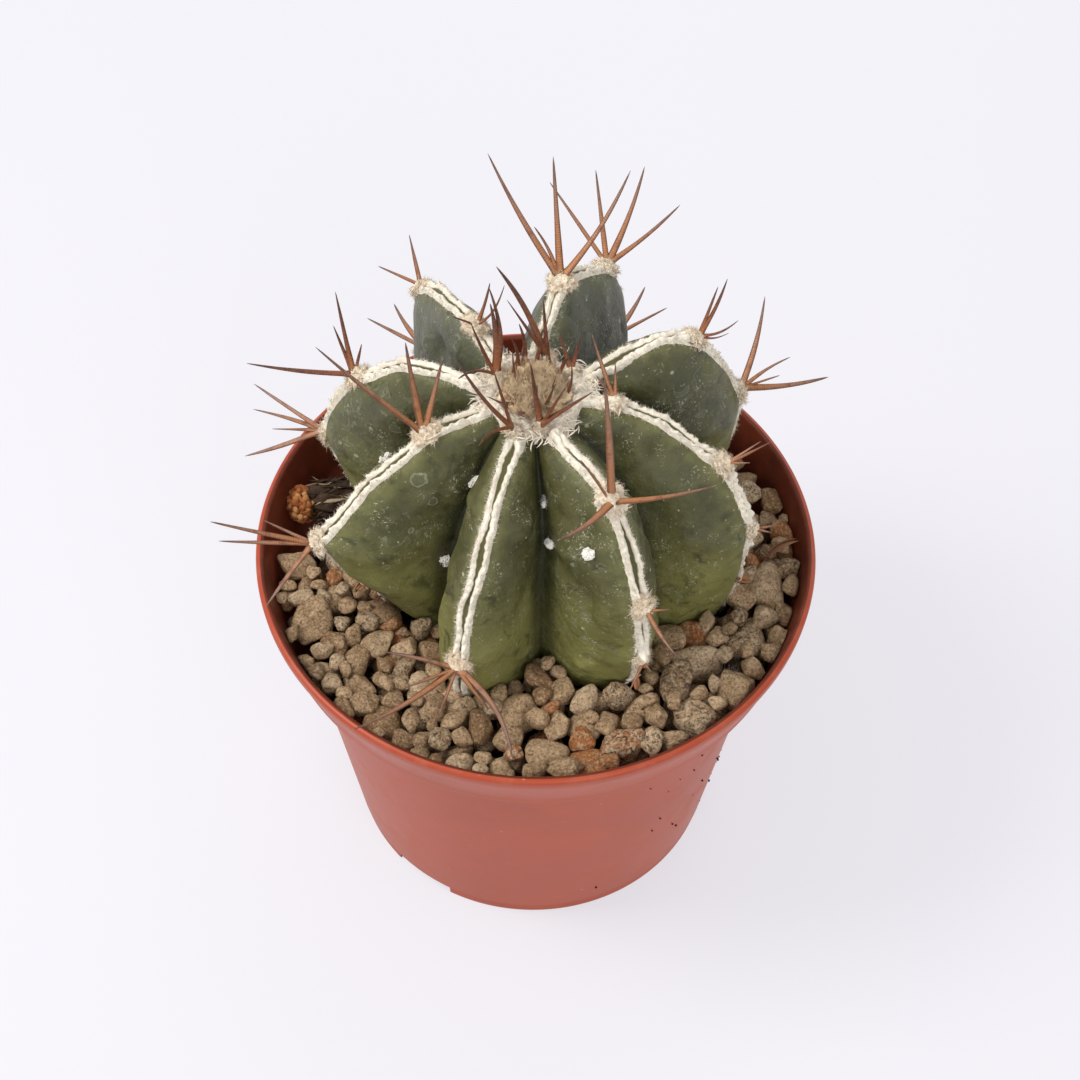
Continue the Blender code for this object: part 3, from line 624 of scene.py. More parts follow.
def cactusMaterial():
    material, tree, shader = newMaterial("cactusSkin", 0.46)
    vector = placeNode(tree)
    broad = noiseNode(tree, vector, 11, 4)
    small = noiseNode(tree, vector, 2.6, 5, 0.6)
    deep = mixColor(tree, ramp(tree, broad, [(0.32, 0.0), (0.68, 1.0)]), (0.040, 0.042, 0.013),
                    (0.080, 0.076, 0.025))
    color = mixColor(tree, ramp(tree, small, [(0.35, 0.0), (0.72, 0.55)]), deep, (0.122, 0.117, 0.041))
    # younger, yellower skin towards the foot and at the crest's edges; towards the foot the skin is also
    # painted lighter, as painted light thrown up from the gravel
    near = attribute(tree, "nearCrest")
    footTintAndLight = times(tree, attribute(tree, "nearFoot"), ramp(tree, broad, [(0.25, 0.35), (0.7, 1.0)]))
    color = mixColor(tree, times(tree, footTintAndLight, 0.9), color, (0.315, 0.305, 0.095))
    edge = times(tree, ramp(tree, near, [(0.66, 0.0), (0.86, 1.0)], True),
                 ramp(tree, small, [(0.3, 0.35), (0.7, 1.0)]))
    color = mixColor(tree, times(tree, edge, 0.55), color, (0.22, 0.215, 0.08))
    # painted grey-blue reflection on the back ribs
    blueReflection = times(tree, attribute(tree, "blue"),
                  ramp(tree, noiseNode(tree, placeNode(tree, (1, 1, 0.35)), 5, 4),
                                                                [(0.3, 0.45), (0.65, 1.0)]))
    color = mixColor(tree, times(tree, blueReflection, 0.62), color, (0.105, 0.112, 0.092))
    # dark blotches, pale scar rings and patches
    blotch = ramp(tree, noiseNode(tree, vector, 4.2, 4, 0.6, 0.6), [(0.56, 0.0), (0.70, 0.75)])
    color = mixColor(tree, blotch, color, (0.030, 0.031, 0.010))
    scar = times(tree, ramp(tree, noiseNode(tree, vector, 3.6, 3, 0.5, 1.2), [
        (0.58, 0.0), (0.60, 0.9), (0.615, 0.25), (0.70, 0.12), (0.74, 0.0)]),
                 ramp(tree, noiseNode(tree, vector, 13, 2), [(0.50, 0.0), (0.56, 1.0)]))
    for azimuth, radius, height, size in cactus["scars"]:
        gap = tree.nodes.new("ShaderNodeVectorMath")
        gap.operation = "DISTANCE"
        warp = tree.nodes.new("ShaderNodeVectorMath")
        warp.operation = "MULTIPLY_ADD"
        link(tree, noiseColor(tree, vector, 1.6), warp.inputs[0])
        warp.inputs[1].default_value = (size, size, size)
        link(tree, vector, warp.inputs[2])
        link(tree, warp.outputs[0], gap.inputs[0])
        gap.inputs[1].default_value = ringPoint(azimuth, radius, height, cactus["centre"]) + size * 0.5
        share = maths(tree, "DIVIDE", gap.outputs["Value"], size * 2)
        ring = ramp(tree, share, [(0.0, 0.45), (0.36, 0.12), (0.42, 0.8), (0.47, 0.9), (0.52, 0.0)])
        scar = maths(tree, "ADD", scar, ring)
    color = mixColor(tree, times(tree, scar, 0.5), color, (0.30, 0.31, 0.22))
    # white flecks in clusters, from coarse to very fine, and thin scratches
    marks = []
    for size, share, patch in ((2.1, 0.82, 9.0), (1.0, 0.74, 5.0), (0.55, 0.68, 3.4)):
        cells = tree.nodes.new("ShaderNodeTexVoronoi")
        cells.inputs["Scale"].default_value = 1.0 / size
        warped = tree.nodes.new("ShaderNodeMix")
        warped.data_type = "VECTOR"
        warped.inputs[0].default_value = 0.30
        link(tree, vector, warped.inputs[4])
        link(tree, noiseColor(tree, vector, size * 0.6), warped.inputs[5])
        link(tree, warped.outputs[1], cells.inputs["Vector"])
        chosen = tree.nodes.new("ShaderNodeSeparateColor")
        link(tree, cells.outputs["Color"], chosen.inputs[0])
        dots = times(tree, ramp(tree, cells.outputs["Distance"], [(0.10, 1.0), (0.17, 0.0)]),
                     ramp(tree, chosen.outputs[0], [(share, 0.0), (share + 0.03, 1.0)]))
        where = ramp(tree, noiseNode(tree, vector, patch, 3, 0.6), [(0.46, 0.0), (0.57, 1.0)])
        marks.append(times(tree, dots, where))
    for scale, size in (((2.4, 2.4, 0.5), 0.8), ((0.7, 2.2, 2.2), 1.0)):
        lines = ramp(tree, noiseNode(tree, placeNode(tree, scale), size, 2, 0.5, 1.4),
                     [(0.635, 0.0), (0.67, 1.0)])
        where = ramp(tree, noiseNode(tree, placeNode(tree, (1.1, 0.9, 1)), 5.5, 2),
                     [(0.54, 0.0), (0.60, 1.0)])
        marks.append(times(tree, lines, where))
    spots = marks[0]
    for mark in marks[1:]:
        spots = maths(tree, "ADD", spots, mark)
    color = mixColor(tree, times(tree, spots, 0.54), color, (0.64, 0.62, 0.44))
    # painted shade darkens the valleys
    valleyShade = ramp(tree, near, [(0.0, 1.0), (0.06, 0.8), (0.22, 0.0)], True)
    color = mixColor(tree, times(tree, valleyShade, 0.85), color, (0.010, 0.012, 0.005))
    link(tree, color, shader.inputs["Base Color"])
    link(tree, ramp(tree, small, [(0.3, 0.34), (0.7, 0.54)]), shader.inputs["Roughness"])
    shader.inputs["Specular IOR Level"].default_value = 0.32
    shader.inputs["Coat Weight"].default_value = 0.05
    shader.inputs["Coat Roughness"].default_value = 0.30
    bump(tree, shader, noiseNode(tree, vector, 2.2, 6, 0.62), 0.85, 0.6)
    bump(tree, shader, noiseNode(tree, placeNode(tree, (1.0, 1.0, 0.4)), 0.5, 4, 0.6), 0.07, 0.5)
    bump(tree, shader, maths(tree, "ADD", scar, spots), 0.12, 0.6)
    return material


def makeStem():
    grid, near, blue = stemGrid()
    rows, columns = grid.shape[:2]
    draw = np.random.default_rng(cactus["seed"])
    points = grid[1:-1].reshape(-1, 3)
    top, bottom = grid[0, 0], grid[-1, 0]
    count = len(points)
    faces = gridFaces(rows - 2, columns, True)
    points = np.concatenate((points, [top, bottom]))
    faces += endFans(rows - 2, columns, count, count + 1)
    nearCrest = np.concatenate((near[1:-1].ravel(), (1.0, 1.0)))
    blueness = np.concatenate((blue[1:-1].ravel(), (0.0, 0.0)))
    nearFoot = np.clip((99 - points[:, 2]) / 22, 0, 1)
    obj = meshPiece("cactusBody", points, faces, cactusMaterial(),
                    dict(nearCrest=nearCrest, blue=blueness, nearFoot=nearFoot))
    normals = np.empty(len(points) * 3, np.float32)
    obj.data.vertices.foreach_get("normal", normals)
    normals = normals.reshape(-1, 3)
    flank = 1 - np.abs(nearCrest * 2 - 1)
    lift = (0.42 * roughAt(points, 8, 1) + 0.16 * roughAt(points, 3, 2)) * (0.35 + flank)
    # round dimples and low knobs on the flanks
    open_ = np.where((flank > 0.45) & (points[:, 2] > 72) & (points[:, 2] < 112))[0]
    for spot in points[draw.choice(open_, cactus["dimples"], replace=False)]:
        width = draw.uniform(1.3, 3.0)
        stretch = np.array((1.0, 1.0, draw.uniform(0.5, 0.9)))
        gap = np.linalg.norm((points - spot) * stretch, axis=1)
        lift -= cactus["dimpleDepth"] * draw.uniform(0.25, 1.0) * np.exp(-(gap / width)**2)
    for spot in points[draw.choice(open_, cactus["knobs"], replace=False)]:
        gap = np.linalg.norm(points - spot, axis=1)
        lift += draw.uniform(0.3, 0.95) * np.exp(-(gap / draw.uniform(1.0, 2.4))**2)
    # low swellings run down the flanks beside the valleys
    swell = np.sin(points[:, 2] * 0.55 + 3 * roughAt(points, 14, 8))
    lift += 0.14 * swell * flank
    moved = (points + normals * lift[:, None]) * mm
    obj.data.vertices.foreach_set("co", moved.astype(np.float32).ravel())
    obj.data.update()
    return finishPiece(obj, ["cactus_stem"])


# place along the crest: 1 crown, 2 shoulder, 3 nose, 4 foot. A spine is its azimuth, elevation,
# length, bow (up), sway (to its left) and width; cushion is the radius of the wool
clusters = dict(
    front_left_lower=dict(rib="front_left", place=3.1, cushion=2.4, spines=(
        (-174, 29, 14, 1, 0.8, 1.0), (-136, 3, 23, 2, -1.0, 1.15), (-145, 14, 11, 0, 0, 0.8),
        (-168, 36, 7, 0, 0, 0.7), (-52, 2, 20, -2, -3.0, 1.3), (-60, 8, 12, 1, 0, 0.9),
        (-105, -2, 12, 1, 0, 0.6))),
    front_right_upper=dict(rib="front_right", place=2.0, cushion=2.8, spines=(
        (117, 80, 28, 1.5, 0.6, 1.35), (-26, 36, 22, 1, 0.8, 1.15), (-125, 12, 15, 1, -1.0, 1.2),
        (171, 62, 11, 0, 0, 0.7))),
    front_right_middle=dict(rib="front_right", place=2.95, cushion=2.2, spines=(
        (-63, -4, 10, 0, 0.5, 0.9), (-18, 30, 4, 0, 0, 0.8))),
    front_right_lower=dict(rib="front_right", place=3.5, cushion=1.7, spines=(
        (-115, -12, 6, 0, 0, 0.7), (-70, 30, 3, 0, 0, 0.9))),
    right_upper=dict(rib="right", place=1.35, cushion=2.0, spines=(
        (122, 46, 12, 1, 0, 0.85), (141, 40, 5, 0, 0, 0.8), (92, 53, 6, 0, 0, 0.8))),
    right_middle=dict(rib="right", place=2.5, cushion=2.2, spines=(
        (10, 42, 7, 0, 0, 0.8), (2, 36, 9, 0.5, 0, 0.9), (-21, 26, 4, 0, 0, 0.7))),
    right_lower=dict(rib="right", place=3.15, cushion=1.7, spines=(
        (-30, 20, 3, 0, 0, 1.0), (5, 10, 3, 0, 0, 0.9))),
    right_back_upper=dict(rib="right_back", place=2.2, cushion=2.3, spines=(
        (58, 54, 9, 0, 0, 0.8), (46, 50, 11, 0.5, 0.5, 0.8), (-6, 22, 7, 1, 1.2, 0.7),
        (-25, 14, 5, 1, 1.0, 0.6))),
    right_back_middle=dict(rib="right_back", place=3.0, cushion=2.4, spines=(
        (70, 32, 17, 1, 0.8, 1.1), (31, 18, 10, 1, -1.0, 0.9), (7, -2, 16, 0.5, 1.0, 1.25),
        (18, 8, 7, 0, 0, 0.7))),
    back_upper=dict(rib="back", place=2.0, cushion=2.5, spines=(
        (136, 41, 25, 0.5, -0.8, 1.2), (128, 45, 10, 2, 1.2, 0.8), (97, 50, 21, 0, 0, 1.1),
        (41, 43, 22, -1, 1.8, 1.1))),
    back_middle=dict(rib="back", place=2.8, cushion=2.5, spines=(
        (129, 24, 18, 0, 0, 0.8), (99, 32, 17, 0, 0, 0.9), (65, 28, 19, 0, 0.8, 1.1),
        (36, 16, 17, 0, 0.8, 1.0))),
    back_left_upper=dict(rib="back_left", place=1.6, cushion=2.2, spines=(
        (33, 68, 9, 1, 0, 0.9), (-3, 49, 9, 2, 2.0, 0.7), (-159, 42, 5, 0, 0, 0.7))),
    back_left_middle=dict(rib="back_left", place=2.9, cushion=2.3, spines=(
        (107, 35, 9, 0, 0, 0.9), (160, 12, 8, 0, 0, 0.8))),
    left_back_upper=dict(rib="left_back", place=2.4, cushion=2.4, spines=(
        (111, 54, 15, 0.5, 0, 0.9), (125, 50, 9, 0, 0, 0.8), (70, 50, 5, 0, 0, 0.7),
        (-170, 16, 19, 0, -0.8, 0.95))),
    left_back_lower=dict(rib="left_back", place=3.2, cushion=2.4, spines=(
        (146, 6, 16, 0.5, 0, 0.9), (168, -14, 10, 0, 0, 0.9), (156, -6, 14, 1, 0.8, 1.0),
        (-177, -26, 17, -1, -1.0, 1.2))),
    left_upper=dict(rib="left", place=1.9, cushion=2.5, spines=(
        (180, 51, 27, 0, -0.6, 1.25), (119, 70, 18, 1, 0, 1.2), (60, 64, 14, 0, 0, 1.1))),
    left_nose=dict(rib="left", place=3.0, cushion=2.3, spines=(
        (172, 30, 10, 0, 0, 0.9), (-174, 24, 19, 0.5, 0, 1.0), (-166, 17, 17, 0.5, 0, 0.9),
        (-124, -10, 14, -1, 0, 1.0))),
    back_lower=dict(rib="back", place=3.4, cushion=2.2, spines=(
        (100, 10, 13, 0, 0, 0.9), (65, -8, 15, 0, 0.6, 1.0), (30, 8, 11, 0, 0, 0.9))),
    back_left_lower=dict(rib="back_left", place=3.4, cushion=2.2, spines=(
        (150, 4, 12, 0, 0, 0.9), (118, -10, 14, 0, -0.6, 1.0), (90, 10, 10, 0, 0, 0.8))),
)
crown = dict(tufts=110, centre=(-0.6, 1.8), base=117.6, domeRadius=5.4, domeHeight=4.2, ringRadius=7.9,
             ringHeight=1.2, cushionHeight=118.6, inner=4.2, gapReach=8.9, ribReach=12.4, ropes=170, seed=21)
crownClusters = dict(
    crown_front_left=dict(ring=(-113, 9.2), cushion=1.6, spines=(
        (-166, 60, 20, 1, -2.0, 1.1), (175, 78, 15, 0, 0, 0.9), (-140, 25, 9, -1, 1.5, 0.7))),
    crown_front_right=dict(ring=(-82, 7.6), cushion=1.5, spines=(
        (-13, 52, 14, 0, 0, 1.3), (-8, 70, 11, 0, 0, 0.9), (118, 72, 12, 0, 0, 1.0))),
    crown_left=dict(ring=(153, 7.8), cushion=1.5, spines=(
        (94, 70, 14, 1, 0.8, 1.1), (84, 74, 16, -1.5, 2.0, 0.9), (-150, 40, 9, -1.5, 1.5, 0.7),
        (150, 60, 11, 1, 0, 0.8))),
    crown_back=dict(ring=(76, 8.2), cushion=1.5, spines=(
        (142, 56, 20, 2, 2.0, 1.1), (165, 60, 14, 0, 0, 0.9), (100, 64, 10, 0, 0, 0.8))),
    crown_right=dict(ring=(37, 7.8), cushion=1.5, spines=(
        (126, 62, 7, 0, 0, 0.9), (60, 64, 6, 0, 0, 0.8))),
)
spine = dict(halfWidth=0.64, flat=0.42, tip=0.05, sides=12, rings=26, long=15.0, lift=0.75)


def spineMaterial():
    material, tree, shader = newMaterial("spineHorn", 0.42)
    along = attribute(tree, "along")
    tone = attribute(tree, "tone")
    vector = placeNode(tree)
    grain = noiseNode(tree, vector, 0.5, 4, 0.6)
    young = ramp(tree, along, [(0.0, (0.42, 0.22, 0.10)), (0.12, (0.43, 0.170, 0.060)),
                               (0.50, (0.35, 0.155, 0.078)),
                               (0.80, (0.21, 0.115, 0.078)), (0.95, (0.09, 0.060, 0.050)),
                               (1.0, (0.34, 0.29, 0.26))])
    old = ramp(tree, along, [(0.0, (0.34, 0.115, 0.036)), (0.22, (0.20, 0.050, 0.016)),
                             (0.65, (0.075, 0.021, 0.011)),
                             (1.0, (0.028, 0.016, 0.014))])
    pale = ramp(tree, along, [(0.0, (0.46, 0.23, 0.14)), (0.5, (0.44, 0.25, 0.19)), (0.9, (0.30, 0.22, 0.19)),
                              (1.0, (0.16, 0.12, 0.11))])
    color = mixColor(tree, ramp(tree, tone, [(0.45, 0.0), (0.75, 1.0)]), young, old)
    color = mixColor(tree, ramp(tree, tone, [(0.0, 0.8), (0.25, 0.0)]), color, pale)
    # darker edges, growth bands across and streaks of grain
    rim = attribute(tree, "rim")
    color = mixColor(tree, times(tree, ramp(tree, rim, [(0.15, 0.0), (0.65, 1.0)]), 0.82), color,
                     (0.13, 0.038, 0.014))
    band = tree.nodes.new("ShaderNodeTexWave")
    band.inputs["Scale"].default_value = 1.0
    band.inputs["Distortion"].default_value = 3.0
    combine = tree.nodes.new("ShaderNodeCombineXYZ")
    link(tree, attribute(tree, "distance"), combine.inputs[0])
    link(tree, tone, combine.inputs[1])
    link(tree, combine.outputs[0], band.inputs["Vector"])
    rings = ramp(tree, band.outputs["Fac"], [(0.55, 0.0), (0.95, 1.0)])
    color = mixColor(tree, times(tree, rings, 0.32), color, (0.10, 0.032, 0.016))
    streak = noiseNode(tree, vector, 1.8, 4, 0.6)
    color = mixColor(tree, ramp(tree, streak, [(0.50, 0.0), (0.68, 0.6)]), color, (0.11, 0.034, 0.018))
    color = mixColor(tree, ramp(tree, grain, [(0.48, 0.0), (0.75, 0.22)]), color, (0.55, 0.32, 0.14))
    link(tree, color, shader.inputs["Base Color"])
    shader.inputs["Specular IOR Level"].default_value = 0.42
    bump(tree, shader, rings, 0.08, 0.6)
    bump(tree, shader, grain, 0.05, 0.5)
    return material


def spineShape(bag, start, values, tone, draw):
    # one flattened, tapering spine; its broad side faces up
    azimuth, elevation, length, bow, sway, width = values
    across = math.cos(math.radians(elevation))
    direction = np.array((across * math.cos(math.radians(azimuth)), across * math.sin(math.radians(azimuth)),
                          math.sin(math.radians(elevation))))
    left = np.array((-math.sin(math.radians(azimuth)), math.cos(math.radians(azimuth)), 0.0))
    upward = np.cross(direction, left)
    sides, rings = spine["sides"], spine["rings"]
    t = np.linspace(0, 1, rings)
    middle = (start + direction * (length * t)[:, None] + upward * (bow * t**2)[:, None]
              + left * (sway * (t**2.2 - 0.35 * np.sin(math.pi * t)))[:, None])
    # dark spines are a little stouter
    width *= 1.15 if tone > 0.69 else 1.0
    base = spine["halfWidth"] * width * min(1.0, 0.62 + 0.38 * length / spine["long"])
    half = spine["tip"] + (base - spine["tip"]) * (1 - t)**0.62 * (1 + 0.22 * np.exp(-(t / 0.05)**2))
    half = half * (1 + 0.05 * np.sin(t * 9 + tone * 20))
    tangent = np.gradient(middle, axis=0)
    tangent /= np.linalg.norm(tangent, axis=1)[:, None]
    twist = draw.uniform(-0.5, 0.5) * t
    wide = np.cross(tangent, upward)
    wide /= np.linalg.norm(wide, axis=1)[:, None]
    thick = np.cross(wide, tangent)
    points, rim = [], []
    for i in range(rings):
        for side in range(sides):
            angle = 2 * math.pi * side / sides
            c, s = math.cos(angle), math.sin(angle)
            # a shallow keel runs down the middle of each broad side
            depth = spine["flat"] * (1 + 0.18 * abs(s)**6)
            a, b = half[i] * c, half[i] * depth * s
            ct, st = math.cos(twist[i]), math.sin(twist[i])
            points.append(middle[i] + wide[i] * (a * ct - b * st) + thick[i] * (a * st + b * ct))
            rim.append(abs(c)**2)
    points.append(middle[-1] + tangent[-1] * 0.08)
    points.append(middle[0])
    rim += [0.5, 0.5]
    faces = gridFaces(rings, sides, True)
    last, first = rings * sides, rings * sides + 1
    for side in range(sides):
        after = (side + 1) % sides
        faces.append((last, last - sides + after, last - sides + side))
        faces.append((first, side, after))
    along = np.concatenate((np.repeat(t, sides), (1.0, 0.0)))
    bag.add(np.array(points), faces, along=along, distance=along * length / 1.4, tone=tone, rim=np.array(rim))


def hairs(bag, roots, directions, lengths, thickness, curl, draw, tone=(0.0, 1.0)):
    # thin tapering strands with three sides, all made at once
    count = len(roots)
    if not count:
        return
    directions = directions / np.linalg.norm(directions, axis=1)[:, None]
    aside = np.cross(directions, draw.normal(size=(count, 3)))
    aside /= np.maximum(np.linalg.norm(aside, axis=1), 1e-6)[:, None]
    other = np.cross(directions, aside)
    bend = (aside * draw.normal(size=(count, 1)) + other * draw.normal(size=(count, 1))) * curl
    rings = ((0.0, 1.0), (0.5, 0.85), (1.0, 0.25))
    points = np.empty((count, len(rings), 3, 3))
    lengths = np.asarray(lengths)[:, None]
    for i, (t, taper) in enumerate(rings):
        middle = roots + directions * lengths * t + bend * lengths * t * t
        for corner in range(3):
            angle = 2 * math.pi * corner / 3
            outward = aside * math.cos(angle) + other * math.sin(angle)
            points[:, i, corner] = middle + outward * thickness * taper
    pattern = []
    for i in range(len(rings) - 1):
        for corner in range(3):
            after = (corner + 1) % 3
            pattern.append((i * 3 + corner, i * 3 + after, i * 3 + 3 + after, i * 3 + 3 + corner))
    size = len(rings) * 3
    faces = (np.array(pattern)[None] + (np.arange(count) * size)[:, None, None]).reshape(-1, 4)
    caps = (np.array((2, 1, 0))[None] + (np.arange(count) * size)[:, None]).tolist()
    ends = (np.array((size - 3, size - 2, size - 1))[None] + (np.arange(count) * size)[:, None]).tolist()
    tones = np.repeat(draw.uniform(*tone, count), size)
    bag.add(points.reshape(-1, 3), [tuple(f) for f in faces.tolist() + caps + ends], tone=tones, dirt=0.0)


def woolMaterial(name, light, dark, dirtColor):
    material, tree, shader = newMaterial(name, 0.9)
    vector = placeNode(tree)
    tone = attribute(tree, "tone")
    color = mixColor(tree, tone, light, dark)
    clump = noiseNode(tree, vector, 1.1, 4, 0.65)
    color = mixColor(tree, ramp(tree, clump, [(0.45, 0.0), (0.75, 0.6)]), color,
                     tuple(c * 0.72 for c in light))
    fibre = noiseNode(tree, vector, 0.16, 3, 0.7)
    color = mixColor(tree, ramp(tree, fibre, [(0.5, 0.0), (0.72, 0.32)]), color, dirtColor)
    color = mixColor(tree, ramp(tree, attribute(tree, "dirt"), [(0.25, 0.0), (0.95, 1.0)]), color, dirtColor)
    specks = ramp(tree, cellNode(tree, vector, 0.9), [(0.06, 1.0), (0.12, 0.0)])
    color = mixColor(tree, times(tree, specks, 0.5), color, (0.16, 0.10, 0.06))
    link(tree, color, shader.inputs["Base Color"])
    shader.inputs["Specular IOR Level"].default_value = 0.15
    shader.inputs["Sheen Weight"].default_value = 0.25
    bump(tree, shader, fibre, 0.10, 0.8)
    bump(tree, shader, clump, 0.20, 0.5)
    return material


def lump(centre, half, directions, detail, rough, size, seed, squeeze=None):
    # points and faces of a rough ball; half is its size along each of the three directions
    ball = ballCache(detail)
    shape = np.empty_like(ball[0])
    for i, p in enumerate(ball[0]):
        push = 1 + rough * roughness(p, size, seed) + rough * 0.45 * roughness(p, size * 0.42, seed + 9)
        shape[i] = p * push
    if squeeze is not None:
        shape[:, 2] = np.where(shape[:, 2] < 0, shape[:, 2] * squeeze, shape[:, 2])
    axes = np.array(directions)
    return centre + (shape * np.array(half)) @ axes, ball[1]


def strands(bag, middle, plane, radius, rise, count, draw):
    # loose felted ropes lying across a cushion, each a bent and lumpy tube
    rings, sides = 9, 7
    for _ in range(count):
        way = draw.uniform(0, 2 * math.pi)
        spot = plane[0] * math.cos(way) + plane[1] * math.sin(way)
        heading = unit(np.cross(spot, rise) + spot * draw.normal(0, 0.6) + rise * 0.01)
        start = middle + spot * radius * draw.uniform(0.2, 0.95)
        length, thick = draw.uniform(1.5, 3.2) * radius / 2, draw.uniform(0.05, 0.13)
        points = []
        for i in range(rings):
            t = i / (rings - 1) * 2 - 1
            path = start + heading * (t * length) - spot * (0.35 * length * t * t)
            path = path - unit(rise) * (0.25 * length * t * t)
            path = path + unit(rise) * (0.12 * roughness(start + heading * t, 0.5, 3))
            wide = thick * (0.12 + (1 - t * t)**0.8) * (1 + 0.35 * roughness(path, 0.4, 6))
            for side in range(sides):
                angle = 2 * math.pi * side / sides
                points.append(path + unit(rise) * (math.cos(angle) * wide) + unit(np.cross(heading, rise))
                              * (math.sin(angle) * wide))
        bag.add(np.array(points), tubeFaces(rings, sides), tone=draw.uniform(0, 0.7), dirt=0.0)


def ballCache(detail, store={}):
    if detail not in store:
        form = bmesh.new()
        bmesh.ops.create_icosphere(form, subdivisions=detail, radius=1.0)
        store[detail] = (np.array([v.co[:] for v in form.verts]),
                         [tuple(v.index for v in f.verts) for f in form.faces])
        form.free()
    return store[detail]


def toneOf(name, index):
    # older clusters low on the plant are paler and greyer, the young ones at the crown are dark
    if name.startswith("crown"):
        return 0.70 + 0.3 * ((index * 7) % 5) / 5
    if name in ("back_left_upper", "right_back_upper", "left_back_upper"):
        return 0.68 + 0.04 * index
    if name in ("front_left_lower", "left_nose", "left_back_lower", "right_middle"):
        return 0.05 + 0.25 * ((index * 3) % 4) / 4
    return 0.2 + 0.22 * ((index * 5) % 4) / 4


def makeClusters():
    hornMaterial = spineMaterial()
    cushionMaterial = woolMaterial("areoleWool", (0.87, 0.78, 0.63), (0.66, 0.47, 0.28), (0.27, 0.18, 0.10))
    everything = [(name, cluster, None) for name, cluster in clusters.items()]
    everything += [(name, cluster, "crown") for name, cluster in crownClusters.items()]
    for number, (name, cluster, place) in enumerate(everything):
        draw = np.random.default_rng(100 + number)
        if place:
            base = ringPoint(*cluster["ring"], crown["cushionHeight"] - 0.4, crown["centre"])
            out, along = np.array((0.0, 0.0, 1.0)), np.array((1.0, 0.0, 0.0))
            across = np.cross(out, along)
        else:
            line, outs, alongs, acrosses = crestFrame(cluster["rib"], [cluster["place"]])
            base, out, along, across = line[0], outs[0], alongs[0], acrosses[0]
        radius = cluster["cushion"]
        bag = Bag("along", "distance", "tone", "rim")
        starts = []
        for index, values in enumerate(cluster["spines"]):
            fan = ringPoint(values[0], radius * 0.28, 0.0)
            start = base + out * (spine["lift"] + radius * 0.15) + fan
            starts.append(start)
            spineShape(bag, start, values, toneOf(name, index), draw)
        bag.finish("spineCluster_" + name, hornMaterial, "spine", ["spines_" + name])
        # the cushion: a felted mound with strands all over it and little collars round the spines
        wool = Bag("tone", "dirt")
        shape, faces = lump(base + out * 0.1, (radius * 1.05, radius * 0.92, radius * 0.62),
                            (along, across, out), 5,
                            0.42, 0.42, number * 1.3)
        height = ((shape - base) @ out) / radius
        wool.add(shape, faces, tone=draw.uniform(0, 0.5), dirt=np.clip(0.25 - height, 0, 1) * 0.6)
        for start in starts:
            collar, faces = lump(start - out * 0.35, (1.05, 1.05, 0.6), (along, across, out), 4, 0.5, 0.45,
                                 number + 3.7)
            wool.add(collar, faces, tone=draw.uniform(0, 0.6), dirt=0.0)
        strands(wool, base + out * radius * 0.35, (along, across), radius * 0.95, out * radius * 0.3, 14,
                draw)
        picks = draw.integers(0, len(shape), 700)
        roots = shape[picks]
        away = roots - base + out * 0.4
        keep = (away @ out) > -0.1
        roots, away = roots[keep], away[keep]
        hairs(wool, roots, away + draw.normal(size=away.shape) * 0.9, draw.uniform(0.3, 0.95, len(roots)),
              0.04, 0.5, draw)
        wool.finish("cushionWool_" + name, cushionMaterial, "wool")


band = dict(start=0.95, end=3.92, spacing=0.26, halfWidth=1.6, height=0.75, ridge=0.34, columns=29, sink=0.35,
            hairsPerMillimetre=30, seed=40)
# where the wool of a rib thins out, as a place on its crest
thinning = dict(left=3.12, right=3.3, front_right=3.45)


